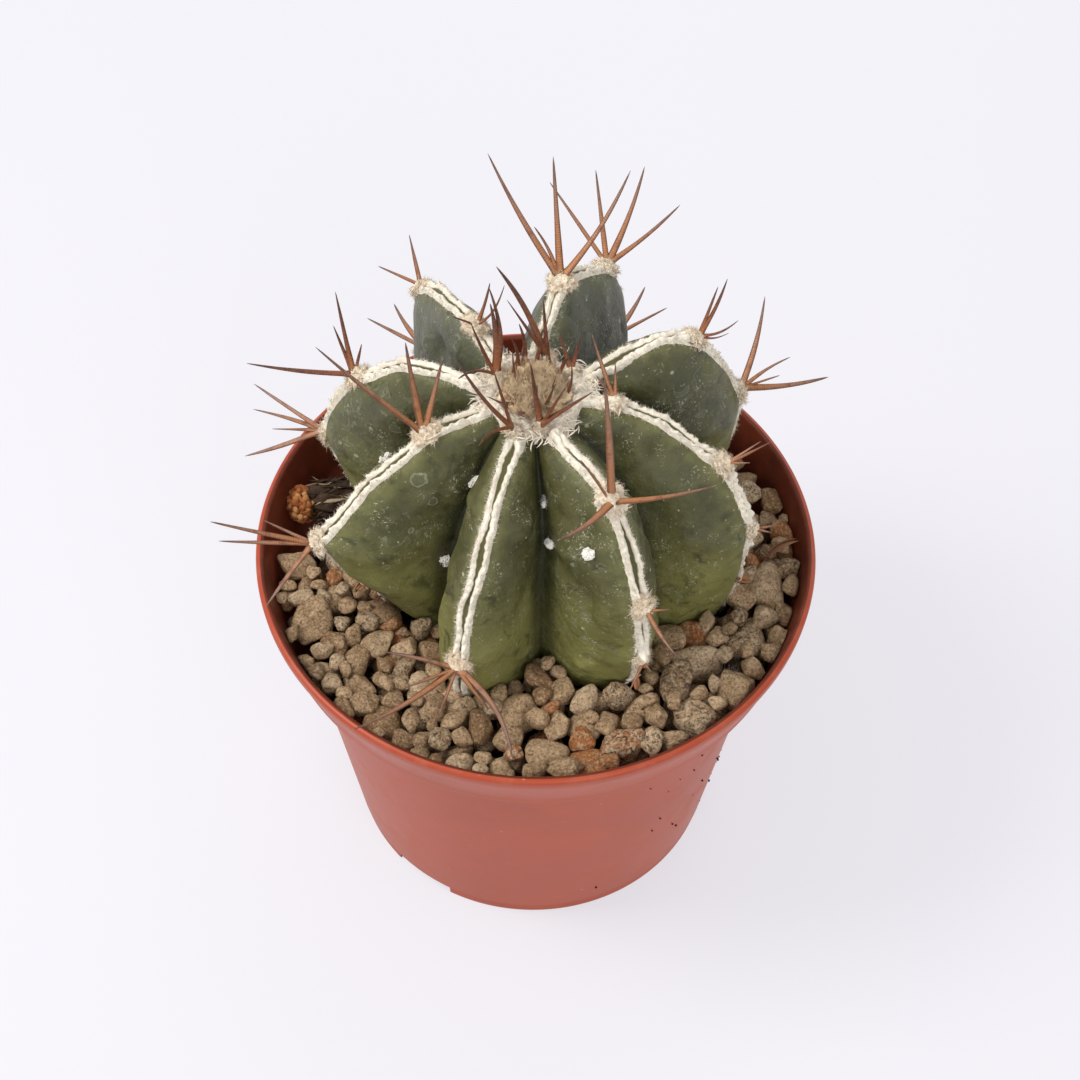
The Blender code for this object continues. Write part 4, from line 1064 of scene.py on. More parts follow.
def makeCrestWool():
    material = woolMaterial("crestFelt", (0.92, 0.85, 0.72), (0.70, 0.60, 0.46), (0.095, 0.088, 0.035))
    for number, name in enumerate(ribs):
        draw = np.random.default_rng(band["seed"] + number)
        coarse = np.linspace(band["start"], band["end"], 200)
        line = crestFrame(name, coarse)[0]
        distance = np.concatenate(([0], np.cumsum(np.linalg.norm(np.diff(line, axis=0), axis=1))))
        rows = int(distance[-1] / band["spacing"])
        places = np.interp(np.linspace(0, distance[-1], rows), distance, coarse)
        line, out, along, across = crestFrame(name, places)
        lateral = np.linspace(-1, 1, band["columns"])
        merge = np.zeros(rows)
        for cluster in clusters.values():
            if cluster["rib"] == name:
                merge += np.exp(-((places - cluster["place"]) / 0.12)**2)
        merge = np.clip(merge + np.clip(1.30 - places, 0, 1) * 2.5, 0, 1)
        thin = 1 - 0.62 * np.clip((places - thinning.get(name, 5)) / 0.2, 0, 1)
        top = np.empty((rows, band["columns"], 3))
        dirt = np.empty((rows, band["columns"]))
        for i in range(rows):
            p = line[i]
            uneven = 0.20 * roughness(p, 4, number) + 0.12 * roughness(p, 1.1, number + 3)
            wide = band["halfWidth"] * (1 + uneven + 0.4 * merge[i])
            wide *= thin[i]
            # the two lines part and meet again along the crest
            part = (0.56 + 0.30 * roughness(p, 6, number + 20)) * (1 - 0.8 * merge[i])
            shift = 0.10 * roughness(p, 3, number + 5) + 0.10 * roughness(p, 0.9, number + 7)
            strength = np.clip(1.15 + 1.0 * roughness(p, 2.4, number + 30), 0.55, 1.3)
            for j, s in enumerate(lateral):
                spot = p + across[i] * (s * wide)
                left = math.exp(-abs((s + part - shift) / band["ridge"])**3)
                left *= 0.9 + 0.75 * roughness(spot, 0.9, 2)
                right = math.exp(-abs((s - part - shift) / band["ridge"])**3)
                right *= 0.9 + 0.75 * roughness(spot, 0.9, 6)
                h = max(left, right) * band["height"] * (1 + 0.5 * merge[i]) * strength * thin[i]
                h += 0.22 * roughness(spot, 0.45, 4) * max(left, right) + 0.10 * roughness(spot, 0.2, 7)
                drop = cactus["crestDrop"] * min(1.0, abs(s * wide) / cactus["crestHalfWidth"])**2
                fall = max(0.0, abs(s * wide) - cactus["crestHalfWidth"] * 0.92) * 1.1
                fall += 0.85 * max(0.0, abs(s) - 0.88) / 0.12
                top[i, j] = spot + out[i] * (h - drop - fall + 0.06)
                dirt[i, j] = np.clip(1.25 - 2.9 * max(left, right), 0, 1) * (abs(s) < 0.7)
        under = [line - out * band["sink"] * 2.4 + across * (side * band["halfWidth"] * 0.6)
                 * thin[:, None] for side in (1, 0, -1)]
        ring = np.concatenate((top, np.stack(under, 1)), 1)
        dirtRing = np.concatenate((dirt, np.zeros((rows, 3))), 1)
        columns = ring.shape[1]
        points = ring.reshape(-1, 3)
        faces = [tuple(reversed(face)) for face in gridFaces(rows, columns, True)]
        faces += [tuple(reversed(range(columns))), tuple(range((rows - 1) * columns, rows * columns))]
        bag = Bag("tone", "dirt")
        bag.add(points, faces, tone=np.repeat(0.2 + 0.5 * roughAt(line, 2.5, 11), columns),
                dirt=dirtRing.ravel())
        # a short fringe along both edges
        count = int(distance[-1] * band["hairsPerMillimetre"])
        at = draw.integers(0, rows, count)
        side = draw.choice((-1, 1), count)
        last = band["columns"]
        column = np.where(side > 0, draw.integers(last - 8, last - 2, count), draw.integers(2, 8, count))
        roots = top[at, column]
        direction = (across[at] * (side * draw.uniform(0.3, 1.4, count))[:, None] - out[at]
                     * draw.uniform(-0.2, 0.9, count)[:, None]
                     + along[at] * draw.normal(0, 0.5, count)[:, None])
        hairs(bag, roots, direction, draw.uniform(0.25, 0.75, count), 0.042, 0.4, draw, (0.0, 0.5))
        bag.finish("crestFelt_" + name, material, "wool", ["crest_wool_" + name])


def nearRib(degrees, width):
    # 1 on a rib's direction at the crown, falling to 0 beside it
    gaps = [((degrees - ribs[name]["azimuth"][0] + 180) % 360 - 180) / width for name in ribs]
    return max(math.exp(-gap**2) for gap in gaps)


young = dict(count=13, radii=(2.2, 6.6), elevations=(48, 84), lengths=(5.0, 10.5), seed=61)


def makeYoungSpines():
    # dark spines that are still pushing out of the felt round the crown
    draw = np.random.default_rng(young["seed"])
    bag = Bag("along", "distance", "tone", "rim")
    for index in range(young["count"]):
        azimuth = 360 * index / young["count"] + draw.uniform(-16, 16)
        start = ringPoint(azimuth, draw.uniform(*young["radii"]), crown["cushionHeight"], crown["centre"])
        values = (azimuth + draw.uniform(-50, 50), draw.uniform(*young["elevations"]),
                  draw.uniform(*young["lengths"]),
                  draw.uniform(-1.0, 1.4), draw.uniform(-1.0, 1.0), draw.uniform(0.75, 1.0))
        spineShape(bag, start, values, draw.uniform(0.72, 1.0), draw)
    return finishPiece(bag.piece("youngSpines", spineMaterial()))


def makeCrownWool():
    tan = woolMaterial("crownFibre", (0.90, 0.72, 0.47), (0.36, 0.19, 0.08), (0.20, 0.12, 0.06))
    cream = woolMaterial("crownFelt", (0.90, 0.82, 0.69), (0.76, 0.66, 0.52), (0.26, 0.17, 0.09))
    draw = np.random.default_rng(crown["seed"])
    turns, steps = 240, 64
    centre, base = crown["centre"], crown["base"]
    points, dirt = [], []
    for i in range(steps):
        share = i / (steps - 1)
        for j in range(turns):
            degrees = 360 * j / turns
            near = nearRib(degrees, 11)
            reach = crown["gapReach"] + (crown["ribReach"] - crown["gapReach"]) * near
            radius = crown["inner"] + (reach - crown["inner"]) * share
            spot = ringPoint(degrees, radius, 0.0, centre)
            ringLift = math.exp(-((radius - crown["ringRadius"]) / 1.5)**2)
            ringLift *= crown["ringHeight"] * (0.7 + 0.5 * near)
            height = base + ringLift + 0.55 * roughness(spot, 1.5, 3)
            height += 0.35 * roughness(spot, 0.6, 5) + 0.12 * roughness(spot, 0.25, 8)
            height -= 3.2 * max(0.0, share - 0.84) / 0.16 + 0.16 * max(0.0, radius - 9.5)**1.5
            points.append((spot[0], spot[1], height))
            dirt.append(np.clip(0.75 - ringLift * 0.7, 0, 0.8) if radius < crown["ringRadius"] else 0.0)
    faces = gridFaces(steps, turns, True)
    inside = len(points)
    points.append((*centre, base - 0.6))
    points.append((*centre, base - 6.0))
    faces += endFans(steps, turns, inside, inside + 1)
    felt = Bag("tone", "dirt")
    points = np.array(points)
    felt.add(points, faces, tone=0.3 + 0.45 * roughAt(points, 1.8, 9), dirt=np.array(dirt + [0.5, 0.5]))
    # ropes of felt run round the ring and out along the ribs
    names = list(ribs)
    for _ in range(crown["ropes"]):
        name = names[draw.integers(len(names))]
        degrees = ribs[name]["azimuth"][0] + draw.normal(0, 9)
        spot = ringPoint(degrees, draw.uniform(6.4, 11.0), base + 0.65 + draw.uniform(-0.3, 0.5), centre)
        outward = ringPoint(degrees + draw.normal(0, 35), 1.0, 0.0)
        strands(felt, spot, (outward, np.cross((0, 0, 1.0), outward)), 1.3, np.array((0, 0, 0.4)), 2, draw)
    distance = np.hypot(points[:inside, 0] - centre[0], points[:inside, 1] - centre[1])
    rim = points[:inside][distance > 6.0]
    roots = rim[draw.integers(0, len(rim), 5200)]
    away = roots - np.array((*centre, base - 2))
    away[:, 2] = draw.uniform(-1.5, 3.0, len(roots))
    swirl = np.cross(away, (0, 0, 1.0)) * draw.normal(0, 0.9, (len(roots), 1))
    hairs(felt, roots, away * draw.choice((-0.6, 1.0), (len(roots), 1)) + swirl,
          draw.uniform(0.3, 0.8, len(roots)), 0.042, 0.45, draw)
    felt.finish("crownFelt", cream, "wool")
    # the dome of young straw-coloured fibre in the middle
    dome = Bag("tone", "dirt")
    size = (crown["domeRadius"], crown["domeRadius"], crown["domeHeight"])
    shape, faces = lump(np.array((*centre, base + 0.3)), size, np.eye(3), 6, 0.30, 0.30, 3.0, 0.5)
    dome.add(shape, faces, tone=0.35 + 0.6 * roughAt(shape, 1.1, 2), dirt=0.0)
    upper = shape[shape[:, 2] > base + 0.5]
    # tufts lean together toward the top, so that neighbours part and cross
    for _ in range(crown["tufts"]):
        spot = upper[draw.integers(len(upper))]
        close = upper[np.linalg.norm(upper - spot, axis=1) < draw.uniform(0.7, 1.5)]
        count = draw.integers(35, 75)
        roots = close[draw.integers(0, len(close), count)]
        heading = np.array((*centre, base + crown["domeHeight"] + 2.2)) - spot
        heading = unit(heading) + np.array((0, 0, 0.55)) + draw.normal(0, 0.42, 3)
        tone = draw.choice((0.0, 0.15, 0.35, 0.95), p=(0.42, 0.28, 0.16, 0.14))
        hairs(dome, roots, heading + draw.normal(0, 0.22, (count, 3)), draw.uniform(0.9, 2.4, count), 0.055,
              0.3, draw, (tone, tone + 0.25))
    dome.finish("crownFibre", tan, "wool", ["crown_wool"])


gravel = dict(
    floor=61.2, ceiling=73.4, lean=1.0, patience=460, wallRadius=47.9, wallSlope=0.30, coreRadius=17.0,
              sizes=(2.1, 4.9), flat=0.78,
    tries=40, most=1000, seed=77, porous=0.20, rusty=0.11, planes=12, contact=0.84,
)


def gravelMaterial():
    material, tree, shader = newMaterial("gravelStone", 0.85)
    vector = placeNode(tree)
    tint = attribute(tree, "tint")
    rust = attribute(tree, "rust")
    porous = attribute(tree, "porous")
    cloud = noiseNode(tree, vector, 3.2, 4, 0.6)
    grain = noiseNode(tree, vector, 0.34, 4, 0.7)
    color = ramp(tree, tint, [(0.0, (0.30, 0.175, 0.085)), (0.3, (0.45, 0.305, 0.175)),
                              (0.7, (0.60, 0.41, 0.24)),
                              (1.0, (0.71, 0.53, 0.345))])
    color = mixColor(tree, ramp(tree, cloud, [(0.35, 0.0), (0.65, 0.65)]), color, (0.25, 0.145, 0.070))
    rustSpread = ramp(tree, noiseNode(tree, vector, 1.6, 4, 0.65), [(0.30, 0.0), (0.52, 1.0)])
    color = mixColor(tree, times(tree, rust, rustSpread), color, (0.36, 0.105, 0.022))
    color = mixColor(tree, times(tree, rust, ramp(tree, grain, [(0.5, 0.0), (0.65, 0.7)])), color,
                     (0.50, 0.22, 0.06))
    color = mixColor(tree, times(tree, porous,
                               ramp(tree, noiseNode(tree, vector, 1.0, 4, 0.6), [(0.46, 0.0), (0.66, 0.85)])),
                     color, (0.58, 0.47, 0.33))
    pores = times(tree, ramp(tree, cellNode(tree, vector, 0.62), [(0.14, 1.0), (0.30, 0.0)]),
                  ramp(tree, noiseNode(tree, vector, 1.3, 4, 0.6), [(0.42, 0.15), (0.56, 1.0)]))
    color = mixColor(tree, times(tree, pores, 0.72), color, (0.10, 0.055, 0.028))
    deep = times(tree, porous, ramp(tree, noiseNode(tree, vector, 0.9, 3, 0.6, 1.0),
                                    [(0.54, 0.0), (0.66, 1.0)]))
    color = mixColor(tree, times(tree, deep, 0.85), color, (0.075, 0.045, 0.026))
    # the lower sides are darker and browner
    color = mixColor(tree, ramp(tree, attribute(tree, "under"), [(0.15, 0.0), (0.85, 0.75)]), color,
                     (0.17, 0.088, 0.038))
    sand = noiseNode(tree, vector, 0.55, 5, 0.75)
    color = mixColor(tree, ramp(tree, sand, [(0.36, 0.78), (0.50, 0.0)]), color, (0.120, 0.066, 0.032))
    color = mixColor(tree, ramp(tree, sand, [(0.52, 0.0), (0.66, 0.6)]), color, (0.78, 0.59, 0.39))
    link(tree, color, shader.inputs["Base Color"])
    shader.inputs["Specular IOR Level"].default_value = 0.22
    bump(tree, shader, sand, 0.5, 0.8)
    bump(tree, shader, grain, 0.30, 0.8)
    bump(tree, shader, cloud, 0.7, 0.5)
    bump(tree, shader, maths(tree, "SUBTRACT", 1.0, pores), 0.22, 0.7)
    bump(tree, shader, maths(tree, "SUBTRACT", 1.0, deep), 0.4, 0.7)
    return material


def stoneShape(draw, half, detail, porous):
    # a worn broken stone: random flats with soft edges, then low and fine roughness
    ball, faces = ballCache(detail)
    count = gravel["planes"]
    i = np.arange(count) + 0.5
    height = 1 - 2 * i / count
    angle = math.pi * (1 + 5**0.5) * i
    flats = np.stack((np.sqrt(1 - height**2) * np.cos(angle), np.sqrt(1 - height**2) * np.sin(angle),
                      height), 1)
    flats += draw.normal(0, 0.38, flats.shape)
    flats /= np.linalg.norm(flats, axis=1)[:, None]
    offsets = draw.uniform(0.72, 1.0, count)
    power = draw.uniform(8, 17)
    reach = (np.maximum(ball @ flats.T / offsets, 0)**power).sum(1)**(-1 / power)
    seed = draw.uniform(0, 90)
    fine = 0.07 * roughAt(ball, 0.6, seed) + (0.03 + 0.05 * porous) * roughAt(ball, 0.19, seed)
    shape = ball * (np.minimum(reach, 1.25) + fine)[:, None]
    shape *= np.array(half) / np.abs(shape).max(0)
    turn = np.array(Euler((draw.uniform(-0.5, 0.5), draw.uniform(-0.5, 0.5),
                           draw.uniform(0, 6.28))).to_matrix())
    return shape @ turn.T, faces


def underside(shape):
    # 0 on the upper half of a stone, rising to 1 at its foot
    return np.clip(0.35 - shape[:, 2] / shape[:, 2].max(), 0, 1)


def stoneTint(draw):
    porous = 1.0 if draw.random() < gravel["porous"] else 0.0
    rust = draw.uniform(0.5, 1.0) if draw.random() < gravel["rusty"] else 0.0
    return dict(tint=float(np.clip(draw.normal(0.5, 0.33), 0, 1)), rust=rust, porous=porous)


def keepInside(points):
    # points that would go through the pot are pushed back to its inner face
    p = pot
    heights = (34, p["wallHeight"] + 0.6, p["collarHeight"] - 0.6, p["collarHeight"] + 0.6, p["height"] - 2.6)
    radii = (p["baseRadius"] - p["wall"] + 4.6, p["wallRadius"] - p["wall"],
             p["collarRadius"] - p["wall"] - 0.5,
             p["collarRadius"] - p["wall"], rimRadius - 2.2)
    limit = np.interp(points[:, 2], heights, radii) - 0.2
    reach = np.hypot(points[:, 0], points[:, 1])
    points[:, :2] *= np.minimum(1, limit / np.maximum(reach, 1e-6))[:, None]
    return points


def isNear(tree, spot, reach):
    # whether a spot is inside a surface or closer to it than the reach
    near, normal, _, distance = tree.find_nearest(spot)
    return distance < reach or (spot - near).dot(normal) < 0


def makeGravel(stemTree, looseTrees):
    material = gravelMaterial()
    draw = np.random.default_rng(gravel["seed"])
    placed = []
    for number in range(1, 17):
        # one stone stands for each pebble of the frame
        middle, half = nodeBox("pebble_%02d" % number)
        placed.append((*middle, float(half[:2].mean())))
        bag = Bag("tint", "rust", "porous", "under")
        tint = stoneTint(draw)
        shape, faces = stoneShape(draw, half * 1.04, 4, tint["porous"])
        bag.add(keepInside(shape + middle), faces, under=underside(shape), **tint)
        bag.finish("stone_%02d" % number, material, "gravel", ["pebble_%02d" % number])
    misses = 0
    rested = []
    while len(rested) < gravel["most"] and misses < gravel["patience"]:
        # smaller stones are tried once the big ones no longer fit
        size = draw.uniform(*gravel["sizes"]) * (1 - 0.45 * misses / gravel["patience"])
        spots = []
        others = np.array(placed)
        for _ in range(gravel["tries"]):
            radius = math.sqrt(draw.uniform(gravel["coreRadius"]**2, 49.0**2))
            x, y, _ = ringPoint(draw.uniform(0, 360), radius, 0)
            gap = np.hypot(others[:, 0] - x, others[:, 1] - y)
            touch = (others[:, 3] + size) * gravel["contact"]
            under = gap < touch
            z = gravel["floor"] + size * gravel["flat"]
            if under.any():
                rise = np.sqrt(touch[under]**2 - gap[under]**2) * gravel["flat"]
                z = max(z, float((others[under, 2] + rise).max()))
            limit = gravel["wallRadius"] + max(0.0, z - gravel["floor"]) * gravel["wallSlope"] - size * 0.93
            lean = gravel["lean"] * math.cos(math.atan2(y, x) + math.radians(20))
            if radius > limit or z + size * gravel["flat"] > gravel["ceiling"] + lean:
                continue
            spot = Vector((x, y, z))
            if isNear(stemTree, spot, size * 0.8):
                continue
            if any(isNear(tree, spot, size * 0.42) for tree in looseTrees):
                continue
            spots.append((z, x, y))
        if not spots:
            misses += 1
            continue
        z, x, y = min(spots)
        placed.append((x, y, z, size))
        rested.append((x, y, z, size))
    print("stones laid:", len(rested), "of", gravel["most"])
    bed = Bag("tint", "rust", "porous", "under")
    tops = np.array(placed)
    for x, y, z, size in rested:
        gap = np.hypot(tops[:, 0] - x, tops[:, 1] - y)
        buried = ((gap < size * 1.2) & (tops[:, 2] > z + size * 0.5)).any()
        tint = stoneTint(draw)
        half = size * np.array((draw.uniform(1.0, 1.38), draw.uniform(0.84, 1.02), draw.uniform(0.70, 0.92)))
        shape, faces = stoneShape(draw, half, 3 if buried or size < 2.4 else 4, tint["porous"])
        bed.add(keepInside(shape + np.array((x, y, z))), faces, under=underside(shape), **tint)
    # crumbs between the stones, on the dark soil
    for _ in range(420):
        spot = ringPoint(draw.uniform(0, 360), math.sqrt(draw.uniform(20**2, 47.5**2)), 0)
        gap = np.hypot(tops[:, 0] - spot[0], tops[:, 1] - spot[1])
        height = gravel["floor"] + draw.uniform(0, 4)
        if (gap < tops[:, 3] * 0.7).any():
            continue
        size = draw.uniform(0.4, 1.1)
        if stemTree.find_nearest(Vector((spot[0], spot[1], height)))[3] < size:
            continue
        shape, faces = stoneShape(draw, size * np.array((1.1, 0.9, 0.8)), 2, 0.0)
        bed.add(keepInside(shape + np.array((spot[0], spot[1], height))), faces, tint=draw.uniform(0, 0.8),
                rust=0.0, porous=0.0, under=0.5)
    return bed.finish("gravelStones", material, "gravel", ["gravel_bed"])


mix = dict(top=61.4, bottom=4.9, gap=0.4, rows=14, turns=128)


def soilMaterial():
    material, tree, shader = newMaterial("soilMix", 0.95)
    vector = placeNode(tree)
    crumbs = cellNode(tree, vector, 1.5)
    color = ramp(tree, noiseNode(tree, vector, 1.1, 5, 0.65),
                 [(0.3, (0.012, 0.008, 0.005)), (0.55, (0.035, 0.022, 0.013)),
                                                               (0.8, (0.085, 0.055, 0.032))])
    pale = times(tree, ramp(tree, crumbs, [(0.12, 1.0), (0.22, 0.0)]),
                 ramp(tree, noiseNode(tree, vector, 5, 2), [(0.5, 0.0), (0.62, 1.0)]))
    color = mixColor(tree, times(tree, pale, 0.8), color, (0.33, 0.25, 0.17))
    link(tree, color, shader.inputs["Base Color"])
    shader.inputs["Specular IOR Level"].default_value = 0.1
    bump(tree, shader, crumbs, 0.5, 0.7)
    bump(tree, shader, noiseNode(tree, vector, 0.4, 4, 0.7), 0.15, 0.6)
    return material


def makeMix(material):
    # a lumpy plug of soil that fills the pot up to the gravel
    slope = (pot["wallRadius"] - pot["baseRadius"]) / (pot["wallHeight"] - 4.0)
    points = []
    levels = np.linspace(mix["top"], mix["bottom"], mix["rows"])
    radii = [(pot["baseRadius"] - pot["wall"] - mix["gap"] - 1.2 + slope * (z - 4.0), z) for z in levels]
    radii = [(r, mix["top"]) for r in np.linspace(3, radii[0][0] - 2, 18)] + radii
    radii += [(r, mix["bottom"]) for r in np.linspace(radii[-1][0] - 2, 3, 6)]
    for radius, height in radii:
        for turn in range(mix["turns"]):
            spot = ringPoint(360 * turn / mix["turns"], radius, height)
            spot[:2] *= 1 - 0.004 * (1 + roughness(spot, 3, 2))
            if height > mix["top"] - 1:
                spot[2] += 0.5 * roughness(spot, 3, 1) + 0.35 * roughness(spot, 1.2, 4)
            points.append(spot)
    rows = len(radii)
    faces = gridFaces(rows, mix["turns"], True)
    faces += [tuple(range(mix["turns"])),
              tuple(reversed(range((rows - 1) * mix["turns"], rows * mix["turns"])))]
    obj = meshPiece("soilPlug", points, faces, material)
    return finishPiece(obj, ["potting_mix"])


bark = dict(place=(159, 41.5), half=(8.5, 4.2, 3.6), turn=15, flakes=150, grains=170, seed=31)
flower = dict(place=(-34, 43.8), half=(3.4, 2.2, 2.0), turn=40, petals=22, seed=32)
leafScale = dict(place=(1, 45.8, 75.2), length=7.6, width=3.4, azimuth=28, elevation=12, seed=35)
# white tufts as azimuth, radius and height on the stem, size and how much they stretch downwards
tufts = ((-136, 14.2, 105.7, 1.5, 2.2), (-137, 21.0, 88.5, 1.5, 1.4), (172, 27.0, 95.9, 1.7, 1.2),
         (-80, 14.4, 107.0, 0.8, 2.6), (-78, 18.7, 100.6, 1.5, 0.8), (-67, 26.2, 105.5, 1.7, 0.8))
stubs = (("left", 3.64), ("left", 3.83), ("front_right", 3.8), ("right", 3.62))
specks = dict(count=95, azimuths=(-75, 30), heights=(8, 72), sizes=(0.12, 0.40), seed=33)


def debrisMaterial(name, dark, middle, light, rough=0.85):
    material, tree, shader = newMaterial(name, rough)
    vector = placeNode(tree)
    fibre = noiseNode(tree, vector, 0.5, 4, 0.7)
    color = ramp(tree, attribute(tree, "tone"), [(0.0, dark), (0.5, middle), (1.0, light)])
    color = mixColor(tree, ramp(tree, fibre, [(0.42, 0.0), (0.7, 0.5)]), color, middle)
    link(tree, color, shader.inputs["Base Color"])
    shader.inputs["Specular IOR Level"].default_value = 0.25
    bump(tree, shader, fibre, 0.12, 0.6)
    return material


def flake(bag, middle, direction, length, width, thick, bend, tone, draw):
    # a thin, slightly curled splinter with pointed ends
    direction = unit(direction)
    side = unit(np.cross(direction, draw.normal(size=3)))
    normal = np.cross(direction, side)
    steps, sides = 9, 6
    points = []
    for i in range(steps):
        t = i / (steps - 1) * 2 - 1
        spread = (1 - abs(t)**2.2) * 0.94 + 0.06
        place = middle + direction * (t * length / 2) + normal * (bend * t * t)
        for corner in range(sides):
            angle = 2 * math.pi * corner / sides
            points.append(place + side * (math.cos(angle) * width / 2 * spread)
                          + normal * (math.sin(angle) * thick / 2 * spread))
    bag.add(np.array(points), tubeFaces(steps, sides), tone=tone)


def makeBark():
    draw = np.random.default_rng(bark["seed"])
    middle, _ = nodeBox("bark_chunk")
    turn = math.radians(bark["turn"])
    axes = np.array(((math.cos(turn), math.sin(turn), 0), (-math.sin(turn), math.cos(turn), 0), (0, 0, 1)))
    half = np.array(bark["half"])
    wood = Bag("tone")
    shape, faces = lump(middle, half * (0.9, 0.85, 0.85), axes, 5, 0.22, 0.35, 5.0)
    wood.add(shape, faces, tone=np.clip(0.12 + 0.3 * roughAt(shape, 1.3, 4), 0, 1))
    for _ in range(bark["flakes"]):
        way = unit(draw.normal(size=3) * (0.8, 1, 1))
        spot = way * half * draw.uniform(0.72, 0.95)
        if spot[0] < -half[0] * 0.55:
            continue
        direction = axes[0] * draw.uniform(0.6, 1) + axes[1] * draw.normal(0, 0.35)
        direction = direction + axes[2] * draw.normal(0, 0.25)
        tone = draw.choice((0.05, 0.15, 0.3, 0.8, 1.0), p=(0.25, 0.25, 0.2, 0.18, 0.12))
        flake(wood, middle + spot @ axes, direction, draw.uniform(2.5, 6.5), draw.uniform(0.35, 1.3),
              draw.uniform(0.2, 0.45),
              draw.uniform(-0.4, 0.6), tone, draw)
    surface = debrisMaterial("barkWood", (0.020, 0.012, 0.008), (0.11, 0.062, 0.032), (0.48, 0.37, 0.25))
    fibres = wood.finish("barkFibres", surface, "bark", ["bark_chunk"])
    # the rusty, crumbly end
    rusty = Bag("tone")
    for _ in range(bark["grains"]):
        way = unit(draw.normal(size=3))
        spot = (way * (2.4, 3.3, 2.8)) + (-half[0] * 0.78, 0, 0.1)
        shape, faces = stoneShape(draw, draw.uniform(0.35, 0.95) * np.ones(3), 2, 0)
        rusty.add(shape + middle + spot @ axes, faces, tone=draw.uniform(0, 1))
    core, faces = lump(middle + np.array((-half[0] * 0.78, 0, 0.1)) @ axes, (2.4, 3.2, 2.7), axes, 4, 0.2,
                       0.5, 8.0)
    rusty.add(core, faces, tone=0.2)
    surface = debrisMaterial("barkRust", (0.13, 0.035, 0.012), (0.34, 0.11, 0.03), (0.55, 0.30, 0.12))
    crumbs = rusty.finish("barkRust", surface, "bark")
    return [fibres, crumbs]


def makeFlower():
    draw = np.random.default_rng(flower["seed"])
    middle, _ = nodeBox("dried_flower")
    turn = math.radians(flower["turn"])
    main = np.array((math.cos(turn), math.sin(turn), 0.15))
    petals = Bag("tone")
    core, faces = lump(middle, np.array(flower["half"]) * 0.55, np.eye(3), 3, 0.3, 0.6, 2.0)
    petals.add(core, faces, tone=0.2)
    for _ in range(flower["petals"]):
        spot = middle + draw.normal(0, 0.75, 3) * (1, 0.8, 0.7)
        direction = main + draw.normal(0, 0.55, 3)
        flake(petals, spot, direction, draw.uniform(3.0, 5.6), draw.uniform(0.6, 1.5), 0.22,
              draw.uniform(0.3, 1.1),
              draw.uniform(0, 1), draw)
    surface = debrisMaterial("driedPetal", (0.10, 0.04, 0.028), (0.27, 0.12, 0.085), (0.55, 0.40, 0.32), 0.7)
    dried = petals.finish("driedPetals", surface, "dried_flower", ["dried_flower"])
    fluff = Bag("tone", "dirt")
    roots = middle + draw.normal(0, 0.8, (240, 3)) * (1, 0.8, 0.5)
    hairs(fluff, roots, draw.normal(size=(240, 3)) + (0, 0, 0.6), draw.uniform(1.0, 2.6, 240), 0.04, 0.5,
          draw)
    surface = woolMaterial("fluff", (0.74, 0.66, 0.54), (0.55, 0.44, 0.32), (0.3, 0.2, 0.12))
    fluff.finish("driedFluff", surface, "dried_flower")
    return dried


def makeStubs():
    # broken dark stubs with a little wool where old cushions sat low on the ribs
    draw = np.random.default_rng(34)
    horn, wool = Bag("tone"), Bag("tone", "dirt")
    for rib, place in stubs:
        line, outs, alongs, acrosses = crestFrame(rib, [place])
        base, out, along, across = line[0] + outs[0] * 0.3, outs[0], alongs[0], acrosses[0]
        for _ in range(5):
            direction = out + along * draw.uniform(-0.2, 1.2) + across * draw.normal(0, 0.6)
            flake(horn, base + out * 0.9 + draw.normal(0, 0.5, 3), direction, draw.uniform(2.2, 4.0),
                  draw.uniform(0.7, 1.2), 0.5,
                  0.2, draw.uniform(0, 1), draw)
        shape, faces = lump(base, (1.5, 0.8, 0.6), (along, across, out), 4, 0.5, 0.45, place * 9)
        wool.add(shape, faces, tone=0.4, dirt=0.15)
        strands(wool, base + out * 0.5, (along, across), 1.3, out * 0.4, 7, draw)
    surface = debrisMaterial("brokenStub", (0.035, 0.018, 0.012), (0.16, 0.07, 0.03), (0.46, 0.20, 0.09), 0.6)
    horn.finish("brokenStubs", surface, "spine")
    surface = woolMaterial("stubWool", (0.86, 0.79, 0.67), (0.6, 0.5, 0.38), (0.2, 0.13, 0.08))
    wool.finish("stubWool", surface, "wool")


def makeScale():
    # a dry brown scale leans between the stones at the right
    draw = np.random.default_rng(leafScale["seed"])
    scaleBag = Bag("tone")
    lay = leafScale
    direction = ringPoint(lay["azimuth"], math.cos(math.radians(lay["elevation"])),
                          math.sin(math.radians(lay["elevation"])))
    flake(scaleBag, ringPoint(*lay["place"]), direction, lay["length"], lay["width"], 0.5, 0.7, 0.5, draw)
    flake(scaleBag, ringPoint(*lay["place"]) + (0.4, 0.9, -0.3), direction + (0.2, 0.1, 0.0),
          lay["length"] * 0.8, 1.2, 0.4, 0.5,
          0.2, draw)
    surface = debrisMaterial("dryScale", (0.09, 0.035, 0.018), (0.23, 0.10, 0.05), (0.4, 0.22, 0.12), 0.6)
    return scaleBag.finish("dryScale", surface, "dried_flower")


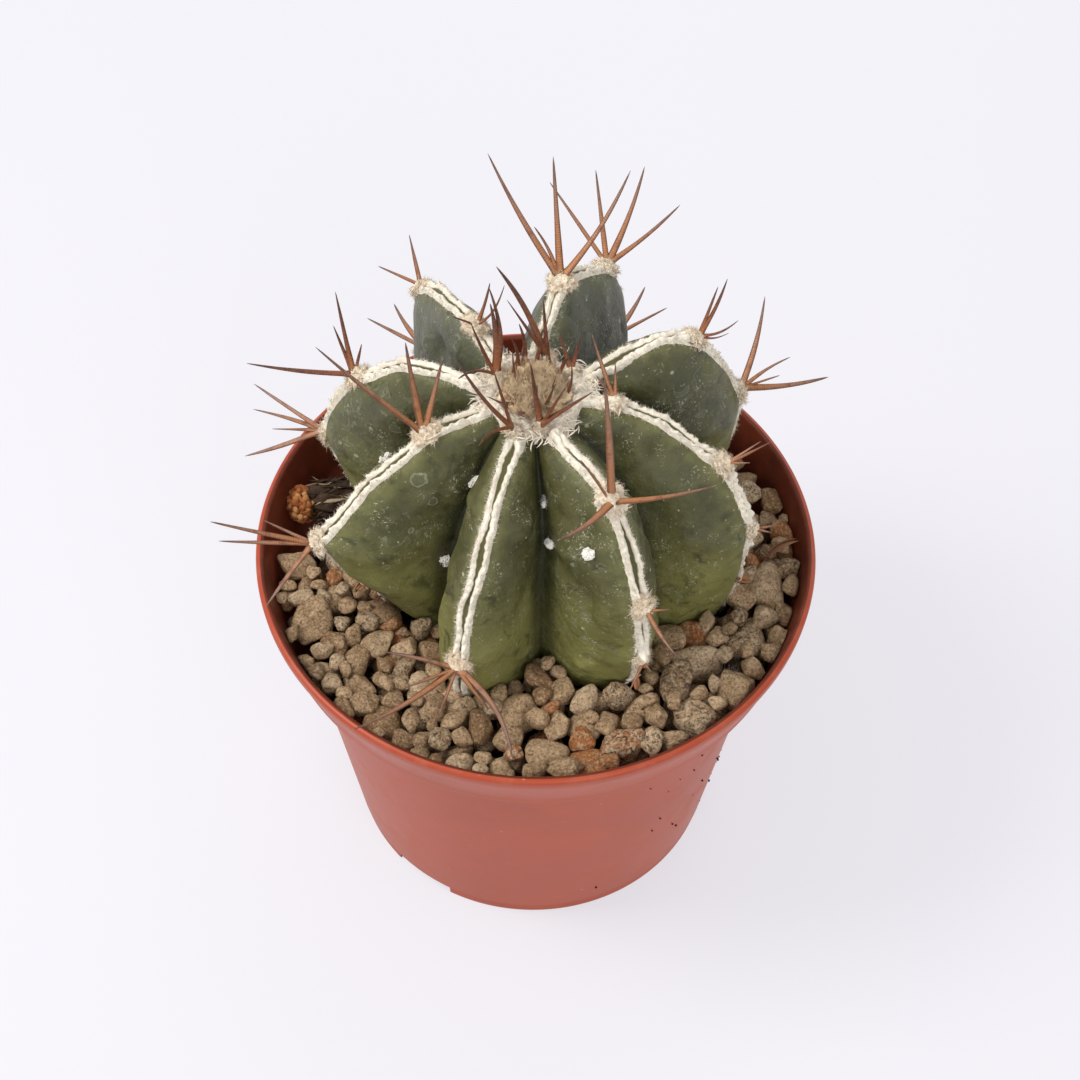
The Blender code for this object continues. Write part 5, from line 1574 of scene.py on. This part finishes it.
def makeLooseBits(stemTree, soil):
    draw = np.random.default_rng(specks["seed"])
    # soil specks cling to the outside of the pot
    grit = Bag("tone")
    slope = (pot["wallRadius"] - pot["baseRadius"]) / pot["wallHeight"]
    for _ in range(specks["count"]):
        azimuth = draw.triangular(specks["azimuths"][0], 5, specks["azimuths"][1])
        height = draw.uniform(*specks["heights"])
        if pot["wallHeight"] - 1 < height < pot["collarHeight"] + 1:
            continue
        radius = pot["baseRadius"] + 0.55 + slope * (height - 3)
        if height > pot["collarHeight"]:
            share = (height - pot["collarHeight"]) / 12.0
            radius = pot["collarRadius"] + (rimRadius - pot["collarRadius"]) * share - 0.2
        size = draw.uniform(*specks["sizes"]) * draw.uniform(0.5, 1)
        shape, faces = stoneShape(draw, size * np.array((1.2, 0.9, 0.8)), 2, 0)
        grit.add(shape + ringPoint(azimuth, radius, height), faces, tone=0.0)
    grit.finish("potSpecks", soil, "potting_mix")
    # white tufts of scale wool sit in the valleys
    white = woolMaterial("whiteTuft", (0.90, 0.86, 0.79), (0.76, 0.72, 0.65), (0.5, 0.44, 0.36))
    fluff = Bag("tone", "dirt")
    for azimuth, radius, height, size, stretch in tufts:
        spot = Vector(ringPoint(azimuth, radius, height, cactus["centre"]))
        near, normal, _, _ = stemTree.find_nearest(spot)
        near, normal = np.array(near), np.array(normal)
        for _ in range(5):
            offset = draw.normal(0, size * 0.33, 3) * (0.8, 0.8, stretch)
            offset -= normal * (offset @ normal)
            shape, faces = lump(near + offset + normal * 0.2,
                                np.array((0.6, 0.6, 0.55)) * size / 1.5 * draw.uniform(0.7, 1.4),
                                np.eye(3), 4, 0.5, 0.45, draw.uniform(0, 50))
            fluff.add(shape, faces, tone=draw.uniform(0, 0.5), dirt=0.0)
        roots = near + draw.normal(0, size * 0.33, (90, 3)) * (0.8, 0.8, stretch)
        hairs(fluff, roots, normal + draw.normal(0, 0.9, (90, 3)), draw.uniform(0.3, 0.8, 90), 0.035, 0.5,
              draw)
    fluff.finish("valleyTufts", white, "wool")


makeCamera()
makeStudio()
print("camera and studio ready")
makePot()
print("pot ready")
stem = makeStem()
stemTree = treeOf(stem)
print("stem ready")
makeClusters()
print("spines ready")
makeCrestWool()
makeCrownWool()
makeYoungSpines()
print("wool ready")
looseBits = makeBark() + [makeFlower(), makeScale()]
makeGravel(stemTree, [treeOf(piece) for piece in looseBits])
soil = soilMaterial()
makeMix(soil)
makeStubs()
makeLooseBits(stemTree, soil)
print("gravel and loose pieces ready")
